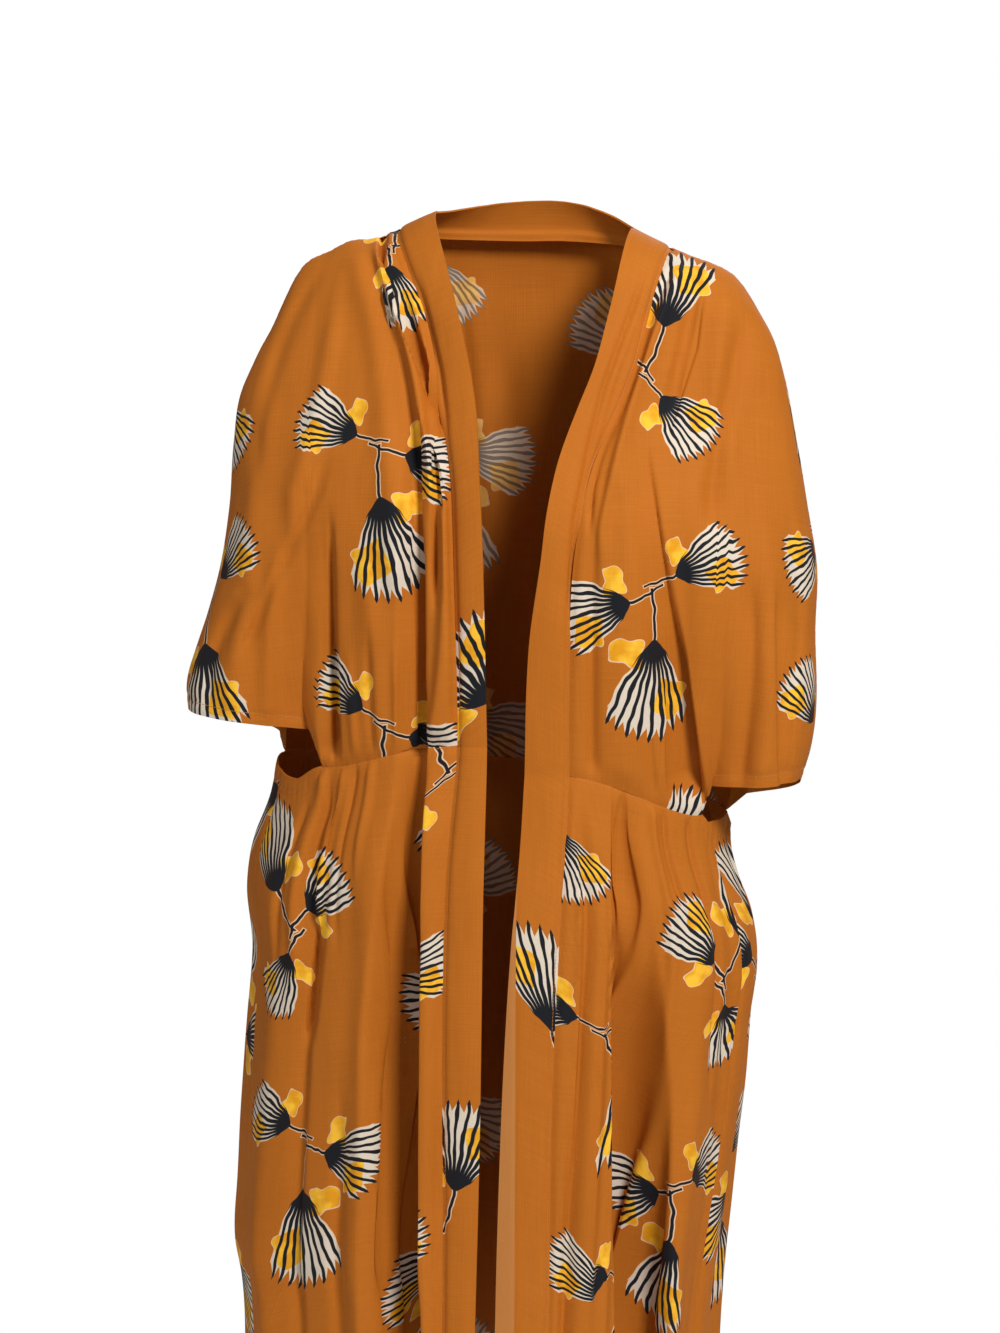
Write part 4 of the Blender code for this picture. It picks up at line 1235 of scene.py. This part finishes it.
def fan_leaf_nodes():
    """One printed fan-shaped leaf, drawn by its distances: base at the origin, tip up, in metres."""
    tree, inside = print_group("printed fan leaf")
    trembling = {"Vector": inside, "Scale": TREMBLE_SCALE, "Detail": 1.0}
    tremble = add(tree, "ShaderNodeTexNoise", ON_FLAT, trembling)
    from_middle = {0: tremble.outputs["Color"], 1: (0.5, 0.5, 0.5)}
    centred = add(tree, "ShaderNodeVectorMath", {"operation": "SUBTRACT"}, from_middle)
    shaken = add(tree, "ShaderNodeVectorMath", {"operation": "SCALE"}, {0: centred, "Scale": HAND_TREMBLE})
    place = add(tree, "ShaderNodeVectorMath", {"operation": "ADD"}, {0: inside, 1: shaken})
    wavering = {"Vector": inside, "Scale": WAVER_SCALE, "Detail": 0.0}
    waver = add(tree, "ShaderNodeTexNoise", ON_FLAT, wavering)
    parts = add(tree, "ShaderNodeSeparateXYZ", {}, {0: place})
    values = maths(
        tree,
        (
            ("xx", "MULTIPLY", "x", "x"),
            ("rr", "MULTIPLY_ADD", "y", "y", "xx"),
            ("r", "SQRT", "rr"),
            ("turn", "ARCTAN2", "x", "y"),
            ("curl", "MULTIPLY_ADD", "r", LEAF_CURL, 1.0),
            ("bent", "MULTIPLY", "turn", "curl"),
            ("ribs", "MULTIPLY", "bent", LEAF_RIBS / (2 * LEAF_SPREAD)),
            ("off_rib", "PINGPONG", "ribs", 0.5),
            ("spacing", "MULTIPLY", "off_rib", 2 * LEAF_SPREAD / LEAF_RIBS),
            ("straight", "DIVIDE", "spacing", "curl"),
            ("arc", "MULTIPLY", "straight", "r"),
            ("lobe", "COSINE", "turn"),
            ("length", "MULTIPLY_ADD", "lobe", LEAF_LENGTH * LEAF_LOBE, LEAF_LENGTH * (1 - LEAF_LOBE)),
            ("notch", "MULTIPLY_ADD", "off_rib", -LEAF_NOTCH, 1.0),
            ("edge", "MULTIPLY", "length", "notch"),
            ("beyond_tip", "SUBTRACT", "r", "edge"),
            ("size_turn", "ABSOLUTE", "bent"),
            ("past_side", "SUBTRACT", "size_turn", LEAF_SPREAD),
            ("beyond_side", "MULTIPLY", "past_side", "r"),
            ("leaf", "MAXIMUM", "beyond_tip", "beyond_side"),
            ("run", "DIVIDE", "r", "edge"),
            ("run3", "POWER", "run", 3.0),
            ("width", "MULTIPLY_ADD", "run3", -RIB_WIDTH * RIB_TAPER, RIB_WIDTH),
            ("off_ink", "SUBTRACT", "arc", "width"),
            ("leaf_room", "SUBTRACT", "leaf", RIB_INSIDE),
            ("rib", "MAXIMUM", "off_ink", "leaf_room"),
        ),
        {"x": parts.outputs[0], "y": parts.outputs[1]},
    )
    for name, (spot, radius) in zip(("blob_a", "blob_b"), GOLD_SPOTS):
        away = add(tree, "ShaderNodeVectorMath", {"operation": "DISTANCE"}, {0: place, 1: (*spot, 0.0)})
        past_radius = {0: away.outputs["Value"], 1: radius}
        values[name] = add(tree, "ShaderNodeMath", {"operation": "SUBTRACT"}, past_radius)
    values["waver"] = waver
    maths(
        tree,
        (
            ("round_blob", "MINIMUM", "blob_a", "blob_b"),
            ("wave", "SUBTRACT", "waver", 0.5),
            ("blob", "MULTIPLY_ADD", "wave", GOLD_WAVER, "round_blob"),
            ("yy", "MULTIPLY", "y", "y"),
            ("stem_x", "MULTIPLY_ADD", "yy", STEM_BEND, "x"),
            ("off_stem", "ABSOLUTE", "stem_x"),
            ("below_stem", "SUBTRACT", -STEM_LENGTH, "y"),
            ("stem_end", "MAXIMUM", "below_stem", "y"),
            ("stem_side", "SUBTRACT", "off_stem", STEM_WIDTH),
            ("stem", "MAXIMUM", "stem_side", "stem_end"),
            ("leaf_or_blob", "MINIMUM", "leaf", "blob"),
            ("anything", "MINIMUM", "leaf_or_blob", "stem"),
            ("ink", "MINIMUM", "rib", "stem"),
        ),
        values,
    )
    outputs = {
        "Outline": edge_mask(tree, values["anything"], OUTLINE_WIDTH),
        "Cream": edge_mask(tree, values["leaf"]),
        "Gold": edge_mask(tree, values["blob"]),
        "Dark": edge_mask(tree, values["ink"]),
    }
    add(tree, "NodeGroupOutput", {}, outputs)
    return tree


def layered_leaves(tree, leaf, flat, places):
    """The inks of several leaves laid on the cloth, each at its place, turn and size."""
    inks = {}
    for place, degrees, size in places:
        laid = add(
            tree,
            "ShaderNodeMapping",
            {"vector_type": "TEXTURE"},
            {
                "Vector": flat,
                "Location": (*place, 0.0),
                "Rotation": (0, 0, math.radians(degrees)),
                "Scale": (size, abs(size), 1),
            },
        )
        drawn = add(tree, "ShaderNodeGroup", {"node_tree": leaf}, {0: laid})
        for name in INKS:
            ink = drawn.outputs[name]
            if name in inks:
                ink = add(tree, "ShaderNodeMath", {"operation": "MAXIMUM"}, {0: inks[name], 1: ink})
            inks[name] = ink
    return inks


def repeated_print(leaf):
    """The repeat of the print: a stem in each cell of a half-drop, turned and mirrored by chance."""
    tree, inside = print_group("half-drop leaf print")
    parts = add(tree, "ShaderNodeSeparateXYZ", {}, {0: inside})
    values = maths(
        tree,
        (
            ("across", "DIVIDE", "x", REPEAT_WIDTH),
            ("i", "FLOOR", "across"),
            ("odd", "MODULO", "i", 2.0),
            ("odd_size", "ABSOLUTE", "odd"),
            ("down", "DIVIDE", "y", REPEAT_HEIGHT),
            ("dropped", "MULTIPLY_ADD", "odd_size", 0.5, "down"),
            ("j", "FLOOR", "dropped"),
            ("frac_x", "SUBTRACT", "across", "i"),
            ("frac_y", "SUBTRACT", "dropped", "j"),
            ("from_x", "SUBTRACT", "frac_x", 0.5),
            ("from_y", "SUBTRACT", "frac_y", 0.5),
            ("local_x", "MULTIPLY", "from_x", REPEAT_WIDTH),
            ("local_y", "MULTIPLY", "from_y", REPEAT_HEIGHT),
        ),
        {"x": parts.outputs[0], "y": parts.outputs[1]},
    )
    cell = add(tree, "ShaderNodeCombineXYZ", {}, {0: values["i"], 1: values["j"], 2: PRINT_SEED})
    chance = add(tree, "ShaderNodeTexWhiteNoise", {"noise_dimensions": "3D"}, {"Vector": cell})
    draws = add(tree, "ShaderNodeSeparateColor", {}, {0: chance.outputs["Color"]})
    values["red"], values["green"], values["blue"] = draws.outputs
    maths(
        tree,
        (
            ("flip", "GREATER_THAN", "green", 0.5),
            ("side", "MULTIPLY_ADD", "flip", 2.0, -1.0),
            ("mirrored", "MULTIPLY", "local_x", "side"),
            ("swing", "SUBTRACT", "red", 0.5),
            ("swung", "MULTIPLY", "swing", PRINT_SWING),
            ("upside", "GREATER_THAN", "blue", 0.5),
            ("angle", "MULTIPLY_ADD", "upside", math.pi, "swung"),
        ),
        values,
    )
    local = add(tree, "ShaderNodeCombineXYZ", {}, {0: values["mirrored"], 1: values["local_y"]})
    turning = {"Vector": local, "Angle": values["angle"]}
    turned = add(tree, "ShaderNodeVectorRotate", {"rotation_type": "Z_AXIS"}, turning)
    add(tree, "NodeGroupOutput", {}, layered_leaves(tree, leaf, turned, LEAF_PLACES))
    return tree


def band_print(leaf):
    """The few leaves that the cut of the bands catches."""
    tree, inside = print_group("leaves on the bands")
    add(tree, "NodeGroupOutput", {}, layered_leaves(tree, leaf, inside, BAND_LEAF_PLACES))
    return tree


def turned_strip(tree):
    """One on the strip of the right band that is turned over, and nought elsewhere."""
    place = add(tree, "ShaderNodeTexCoord")
    parts = add(tree, "ShaderNodeSeparateXYZ", {}, {0: place.outputs["Object"]})
    values = maths(
        tree,
        (
            ("from_middle", "SUBTRACT", "x", TURNED_MIDDLE_X),
            ("aside", "ABSOLUTE", "from_middle"),
        ),
        {"x": parts.outputs[0]},
    )
    across = edge_mask(tree, values["aside"], TURNED_HALF_WIDTH)
    below = edge_mask(tree, parts.outputs[2], TURNED_TOP_Z)
    return add(tree, "ShaderNodeMath", {"operation": "MULTIPLY"}, {0: across, 1: below})


def new_material(name):
    made = bpy.data.materials.new(name)
    made.use_nodes = True
    return made, made.node_tree, made.node_tree.nodes["Principled BSDF"]


def woven_cloth(name, prints, faded=0.0, turned=False):
    """Woven viscose: soft, matt and a little slubby, with its print in ink on the right side.

    Viscose takes dye deeply and has a low sheen, and its fine plain weave shows as faint streaks
    along the threads. The threads are 0.35 mm apart and are drawn at 1.1 mm, so that they show.
    """
    made, tree, shader = new_material(name)
    flat = add(tree, "ShaderNodeUVMap", {"uv_map": FLAT_MAP})
    warp, weft = (
        add(tree, "ShaderNodeMapping", {}, {"Vector": flat, "Scale": scale})
        for scale in ((1 / THREAD_DRAWN, WARP_STREAKS, 1.0), (WEFT_STREAKS, 1 / THREAD_DRAWN, 1.0))
    )
    along, across, cloudy, pooled = (
        add(tree, "ShaderNodeTexNoise", ON_FLAT, {"Vector": place, "Scale": scale, "Detail": detail})
        for place, scale, detail in (
            (warp, 1.0, 2.0),
            (weft, 1.0, 2.0),
            (flat, CLOUD_SCALE, 3.0),
            (flat, POOL_SCALE, 2.0),
        )
    )
    streaks = add(tree, "ShaderNodeMath", {"operation": "ADD"}, {0: along, 1: across})
    clouded = {0: cloudy, 1: CLOUD_SHARE, 2: streaks}
    uneven = add(tree, "ShaderNodeMath", {"operation": "MULTIPLY_ADD"}, clouded)
    dyed, gold = (
        add(tree, "ShaderNodeMix", OF_COLOURS, {"Factor": share, "A": srgb(deep), "B": srgb(light)})
        for share, deep, light in (
            (add(tree, "ShaderNodeMapRange", {}, {0: uneven, 1: CLOUD_RANGE[0], 2: CLOUD_RANGE[1]}),
             GROUND_DEEP, GROUND_LIGHT),
            (add(tree, "ShaderNodeMapRange", {}, {0: pooled, 1: POOL_RANGE[0], 2: POOL_RANGE[1]}),
             GOLD_DEEP, GOLD_BRIGHT),
        )
    )
    printed = add(tree, "ShaderNodeGroup", {"node_tree": prints}, {"Flat": flat})
    colour = dyed.outputs["Result"]
    for ink, tint in zip(INKS, (srgb(OUTLINE), srgb(CREAM), gold.outputs["Result"], srgb(DARK))):
        kept = {0: printed.outputs[ink], 1: 1.0 - faded}
        strength = add(tree, "ShaderNodeMath", {"operation": "MULTIPLY"}, kept)
        layer = add(tree, "ShaderNodeMix", OF_COLOURS, {"Factor": strength, "A": colour, "B": tint})
        colour = layer.outputs["Result"]
    if turned:
        wrong = {"Factor": turned_strip(tree), "A": colour, "B": srgb(TURNED_COLOUR)}
        colour = add(tree, "ShaderNodeMix", OF_COLOURS, wrong).outputs["Result"]
    tree.links.new(colour, shader.inputs["Base Color"])
    threads = {"Height": streaks, "Distance": WEAVE_DEPTH, "Strength": WEAVE_STRENGTH}
    pressed = add(tree, "ShaderNodeBump", {}, threads)
    tree.links.new(pressed.outputs[0], shader.inputs["Normal"])
    shader.inputs["Roughness"].default_value = 0.78
    shader.inputs["IOR"].default_value = 1.46
    shader.inputs["Specular IOR Level"].default_value = 0.25
    shader.inputs["Sheen Weight"].default_value = 0.12
    shader.inputs["Sheen Roughness"].default_value = 0.5
    shader.inputs["Sheen Tint"].default_value = srgb(GROUND_LIGHT)
    made.diffuse_color = srgb(GROUND_LIGHT)
    return made


def sewing_thread():
    """Spun polyester sewing thread, dyed a shade lighter than the cloth, with a soft gloss."""
    made, tree, shader = new_material("spun polyester thread")
    place = add(tree, "ShaderNodeTexCoord")
    twist = add(tree, "ShaderNodeTexNoise", {}, {"Vector": place.outputs["Object"], "Scale": TWIST_SCALE})
    shades = {"Factor": twist, "A": srgb(GROUND_DEEP), "B": srgb(THREAD_LIGHT)}
    dyed = add(tree, "ShaderNodeMix", OF_COLOURS, shades)
    tree.links.new(dyed.outputs["Result"], shader.inputs["Base Color"])
    shader.inputs["Roughness"].default_value = 0.55
    made.diffuse_color = srgb(THREAD_LIGHT)
    return made


# The pieces
def bodice_half(name, back):
    """One half of the bodice, with its sleeve: its surface, seams, hems and slight unevenness."""
    columns = COLUMNS_HALF * FINE_COLUMNS
    points = surface(
        ROWS_BODICE * FINE_ROWS,
        columns,
        lambda down, across: bodice_point(name, back, across * columns / FINE_COLUMNS, down * ROWS_BODICE),
    )
    outward = np.array((0.0, 1.0 if back else -1.0, 0.0))
    down = run_along(points, 0)
    across = run_along(points, 1)
    from_foot = down[-1:] - down
    from_side = across[:, -1:] - across
    cuff_from = (COLUMNS_TORSO + COLUMNS_EDGE) * FINE_COLUMNS
    cuff = 1 / (1 + np.exp((cuff_from - np.arange(columns + 1)[None, :]) / CUFF_BEGINS))
    relief = crumple(points, *BODICE_CRUMPLE) * calm(down) * calm(from_side)
    relief *= mix(calm(from_foot), 1.0, cuff)
    relief += hem(from_foot, CUFF_HEM, across) * cuff
    relief += seam(from_foot, across) * (1 - cuff)
    relief += seam(down, across) + seam(from_side, down) * OVERARM_SEAM
    if not back:
        relief = relief * calm(across) + seam(across, down)
        relief -= BAND_VALLEY * dent(across, BAND_VALLEY_REACH)
    points = raised(points, outward, relief)
    if not back:
        points = tucked(points, outward, f"bodice_front_{name}", from_side)
    side = "back" if back else "front"
    cells = slice(cuff_from, None)
    mark_line(f"stitches_cuff_{side}_{name}", points, outward, from_foot, CUFF_HEM, cells, True)
    if not back:
        points = allowance(points, outward, True, 0)
    return points


def bodice_front(name):
    points = bodice_half(name, False)
    outward = np.array((0.0, -1.0, 0.0))
    points = allowance(points.swapaxes(0, 1), outward, False, points.shape[1] - 1).swapaxes(0, 1)
    return cloth_grid(f"printed_bodice_front_{name}", points, laid_flat(points))


def bodice_back():
    halves = [bodice_half(name, True) for name in ("left", "right")]
    middle = (halves[0][:, :1] + halves[1][:, :1]) / 2
    points = np.concatenate([halves[0][:, :0:-1], middle, halves[1][:, 1:]], axis=1)
    return cloth_grid("printed_bodice_back", points, laid_flat(points))


def skirt_piece(name, start, end, columns, close_at=0.0):
    """A panel of the skirt between two angles, each a function of the share down it."""
    shares = column_shares(columns, close_at)
    points = surface(
        SKIRT_ROWS,
        columns,
        lambda down, across: skirt_point(mix(start(down), end(down), shares[round(across * columns)]), down),
    )
    outward = points * np.array((1.0, 1.0, 0.0))
    down = run_along(points, 0)
    across = run_along(points, 1)
    from_side = across[:, -1:] - across
    creases = np.array([
        [skirt_crease_height(angle, share) for angle in mix(start(share), end(share), shares)]
        for share in np.arange(SKIRT_ROWS + 1) / SKIRT_ROWS
    ])
    free = np.array([free_share(angle) for angle in mix(start(0.0), end(0.0), shares)])
    relief = (crumple(points, *SKIRT_CRUMPLE) + creases) * calm(down) * calm(across) * calm(from_side)
    relief += hem(down[-1:] - down, FOOT_HEM, across)
    relief += seam(across, down) + seam(from_side, down)
    if name != "skirt_back":
        relief -= BAND_VALLEY * dent(across, BAND_VALLEY_REACH)
    relief += mix(seam(down, across), hem(down, ARM_EDGE_HEM, across), free[None, :])
    points = tucked(raised(points, outward, relief), outward, name, from_side)
    mark_line(f"stitches_hem_{name}", points, outward, down[-1:] - down, FOOT_HEM, slice(None), True)
    for line, at, cells in runs_along_top(free):
        mark_line(f"stitches_{line}_{name}", points, outward, down, at, cells, True)
    points, flat = turned_top(points, flat_by_length(points, 0.5), outward, free)
    return cloth_grid(f"printed_{name}", points, flat)


def free_share(angle):
    """One where the skirt's top is free, under the arm, and nought where it is sewn to the bodice."""
    turned = abs(half_turn(angle))
    pinch = SIDES[side_at(angle)].pinch_angle
    return ease((turned - pinch) / FREE_EASE) * ease((BACK_END_ANGLE - turned) / FREE_EASE)


def runs_along_top(free):
    """The lines of stitches along a skirt's top: the arm openings' hems, and the waist seam between them."""
    is_free = free > 0.5
    changes = [0, *(np.flatnonzero(np.diff(is_free)) + 1), len(free)]
    for count, (first, last) in enumerate(zip(changes, changes[1:])):
        if is_free[first]:
            yield f"arm_{count}", ARM_EDGE_HEM, slice(first, last)
        else:
            yield f"waist_{count}", WAIST_STITCH_IN, slice(first, last)


def skirt_front(name):
    side = SIDE_SEAM_ANGLE * SIDES[name].sign
    return skirt_piece(
        f"skirt_front_{name}",
        lambda share: band_seam_angle(name, share),
        lambda share: side,
        SKIRT_FRONT_COLUMNS,
        CLOSE_AT[name],
    )


def skirt_back():
    return skirt_piece(
        "skirt_back",
        lambda share: SIDE_SEAM_ANGLE,
        lambda share: 360.0 - SIDE_SEAM_ANGLE,
        SKIRT_BACK_COLUMNS,
    )


def band_piece(name, lines, outward):
    """A band from its seam to its free edge: crowned, rolled at the edge and stitched by the seam."""
    points = np.empty((len(lines), BAND_COLUMNS + 1, 3))
    for row, (line_seam, line_edge) in enumerate(lines):
        for column in range(BAND_COLUMNS + 1):
            share = column / BAND_COLUMNS
            crown = BAND_CROWN * math.sin(math.pi * share)
            points[row, column] = [mix(a, b, share) for a, b in zip(line_seam, line_edge)]
            points[row, column, 1] -= crown * outward
    facing = np.array((0.0, -float(outward), 0.0))
    down = run_along(points, 0)
    across = run_along(points, 1)
    relief = crumple(points, *BAND_CRUMPLE) * calm(across) + seam(across, down) * BAND_SEAM_RELIEF
    relief -= STITCH_DENT * dent(across - BAND_STITCH_IN, STITCH_DENT_REACH * BAND_DENT_REACH)
    relief -= BAND_VALLEY * dent(across, BAND_VALLEY_REACH)
    for line, depth, reach in BAND_GROOVES.get(name, ()):
        relief += groove(points, line, depth, reach)
    if name == "band_right":
        turned = np.clip((TURNED_TOP_Z - points[..., 2]) / TURNED_BEGINS, 0.0, 1.0)
        past = TURNED_LINE_X - points[..., 0]
        pressed = TURNED_GROOVE * dent(past, TURNED_GROOVE_REACH)
        relief -= turned * (TURNED_SLOPE * np.maximum(past, 0.0) + pressed)
    points = raised(points, facing, relief)
    mark_line(f"stitches_{name}", points, facing, across, BAND_STITCH_IN, thickness=BAND_THICKNESS)
    points = allowance(points, facing, False)
    flat = flat_by_length(points)
    flat[..., 0] += BAND_ASIDE[name]
    return cloth_grid(f"plain_{name}", points, flat)


def front_band_lines(name, first, last):
    """Lines across a front band from its neck point (0) through the waist (1) to the hem (2)."""
    lines = []
    for row in range(BAND_ROWS + 1):
        share = mix(first, last, row / BAND_ROWS)
        lines.append(edge_of_band(name, share) if share < 1.0 else skirt_band_lines(name, share - 1.0))
    return lines


# Stitches
def stitch_line(name, line):
    """A line of stitches, each a short bead of thread sunk half into the cloth."""
    places = line[:, :3]
    steps = np.linalg.norm(np.diff(places, axis=0), axis=1)
    along = np.concatenate([[0.0], np.cumsum(steps)])
    count = int(along[-1] / STITCH_PITCH)
    bpy.ops.mesh.primitive_cylinder_add(
        vertices=THREAD_SIDES, radius=THREAD / 2, depth=STITCH_LENGTH, end_fill_type="TRIFAN"
    )
    piece = bpy.context.object
    piece.name = name
    piece.data.name = name
    row = piece.modifiers.new("row", "ARRAY")
    row.count = count
    row.use_relative_offset = False
    row.use_constant_offset = True
    row.constant_offset_displace = (STITCH_PITCH, 0.0, 0.0)
    bpy.ops.object.modifier_apply(modifier=row.name)
    mesh = piece.data
    beads = values_of(mesh.vertices, "co", 3).reshape(count, -1, 3)
    for number, bead in enumerate(beads):
        middle = (number + 0.5) * STITCH_PITCH
        back, ahead = (
            np.array([np.interp(middle + step, along, line[:, i]) for i in range(6)])
            for step in (-STITCH_LENGTH / 2, STITCH_LENGTH / 2)
        )
        run = ahead[:3] - back[:3]
        run /= np.linalg.norm(run)
        up = back[3:] + ahead[3:]
        up -= run * up.dot(run)
        up /= np.linalg.norm(up)
        frame_of_stitch = np.array((np.cross(up, run), up, run))
        bead[:, 0] -= number * STITCH_PITCH
        bead[:] = (back[:3] + ahead[:3]) / 2 + bead @ frame_of_stitch
    mesh.vertices.foreach_set("co", beads.ravel())
    mesh.update()
    mesh.materials.append(THREAD_MATERIAL)
    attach(piece, "root")
    bpy.ops.object.select_all(action="DESELECT")


leaf_nodes = fan_leaf_nodes()
leaf_print = repeated_print(leaf_nodes)
RIGHT_SIDE = woven_cloth("woven viscose, printed side", leaf_print)
WRONG_SIDE = woven_cloth("woven viscose, wrong side", leaf_print, faded=WRONG_SIDE_FADED)
BAND_SIDE = woven_cloth("woven viscose, band", band_print(leaf_nodes), turned=True)
THREAD_MATERIAL = sewing_thread()


def dress(piece, node, slot, flat, area, thickness=CLOTH_THICKNESS, sides=(RIGHT_SIDE, WRONG_SIDE)):
    """Finishes a sheet of cloth and puts it in place of its solid."""
    face_outward(piece, (0.0, SECTION_MIDDLE_Y))
    finish_cloth(piece, thickness, sides)
    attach(piece, "root")
    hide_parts(*node)


for side_name in ("left", "right"):
    dress(bodice_front(side_name), [f"bodice_front_{side_name}"], "printed_cloth", *FRONT_CUTS[side_name])
    dress(skirt_front(side_name), [f"skirt_front_{side_name}"], "printed_cloth", *SKIRT_FRONT_CUTS[side_name])
dress(bodice_back(), ["bodice_back"], "printed_cloth", *BACK_CUT)
dress(skirt_back(), ["skirt_back"], "printed_cloth", *SKIRT_BACK_CUT)
JUST_ABOVE_WAIST = 0.9999
NECK_STEPS = [mix(-COLUMNS_NECK, COLUMNS_NECK, i / NECK_ROWS) for i in range(NECK_ROWS + 1)]
# Each band: its lines across, the way its wrong side faces, and its cut
BANDS = (
    ("band_left_upper", front_band_lines("left", 0.0, JUST_ABOVE_WAIST), 1, (0.037, 0.46)),
    ("band_left_lower", front_band_lines("left", 1.0, 2.0), 1, (0.035, 0.78)),
    ("band_right", front_band_lines("right", 0.0, 2.0), 1, (0.042, 1.23)),
    ("band_back_neck", [back_neck_lines(step) for step in NECK_STEPS], -1, (0.038, 0.25)),
)
for node_name, lines, outward, cut in BANDS:
    band = band_piece(node_name, lines, outward)
    dress(band, [node_name], "band_cloth", cut, None, BAND_THICKNESS, (BAND_SIDE,))
for sewn_name, sewn_line in SEWN_LINES:
    stitch_line(sewn_name, sewn_line)


# Stage, light and camera
def paper_floor():
    """A round of white paper that fades out at its rim, so that it has no horizon."""
    bpy.ops.mesh.primitive_circle_add(
        vertices=96, radius=FLOOR_RADIUS, fill_type="NGON", location=(0, 0, FLOOR_Z)
    )
    floor = bpy.context.object
    floor.name = "studio_floor"
    made, tree, shader = new_material("matt white paper")
    shader.inputs["Base Color"].default_value = srgb(MATT_PAPER)
    shader.inputs["Roughness"].default_value = 0.9
    place = add(tree, "ShaderNodeTexCoord")
    away = add(tree, "ShaderNodeVectorMath", {"operation": "LENGTH"}, {0: place.outputs["Object"]})
    rim = {0: away.outputs["Value"], 1: FLOOR_FADES_FROM, 2: FLOOR_RADIUS, 3: 1.0, 4: 0.0}
    shown = add(tree, "ShaderNodeMapRange", {"interpolation_type": "SMOOTHSTEP"}, rim)
    tree.links.new(shown.outputs[0], shader.inputs["Alpha"])
    floor.data.materials.append(made)


def put(name, data, place, aim):
    """Puts a lamp or the camera at a place in the studio, aimed at another."""
    holder = bpy.data.objects.new(name, data)
    holder.location = place
    holder.rotation_euler = (Vector(aim) - Vector(place)).to_track_quat("-Z", "Y").to_euler()
    bpy.context.scene.collection.objects.link(holder)
    return holder


def studio():
    """The floor, a white world, three soft lamps and a camera at the photograph's viewing angle."""
    paper_floor()
    world = bpy.data.worlds.new("white studio")
    bpy.context.scene.world = world
    world.use_nodes = True
    tree = world.node_tree
    seen = add(tree, "ShaderNodeLightPath")
    strength = add(tree, "ShaderNodeMapRange", {}, {0: seen.outputs["Is Camera Ray"], 3: WORLD_LIGHT, 4: 1.0})
    tree.links.new(strength.outputs[0], tree.nodes["Background"].inputs["Strength"])
    tree.nodes["Background"].inputs["Color"].default_value = srgb(WHITE)
    for name, place, aim, size, watts in LIGHTS:
        lamp = bpy.data.lights.new(name, "AREA")
        lamp.shape = "SQUARE"
        lamp.size = size
        lamp.energy = watts
        put(name, lamp, place, aim)
    lens = bpy.data.cameras.new("camera")
    lens.sensor_fit = "VERTICAL"
    lens.angle = math.radians(CAMERA_HEIGHT_ANGLE)
    bpy.context.scene.camera = put("camera", lens, CAMERA_PLACE, CAMERA_AIM)
    bpy.context.scene.view_settings.view_transform = "Standard"


studio()
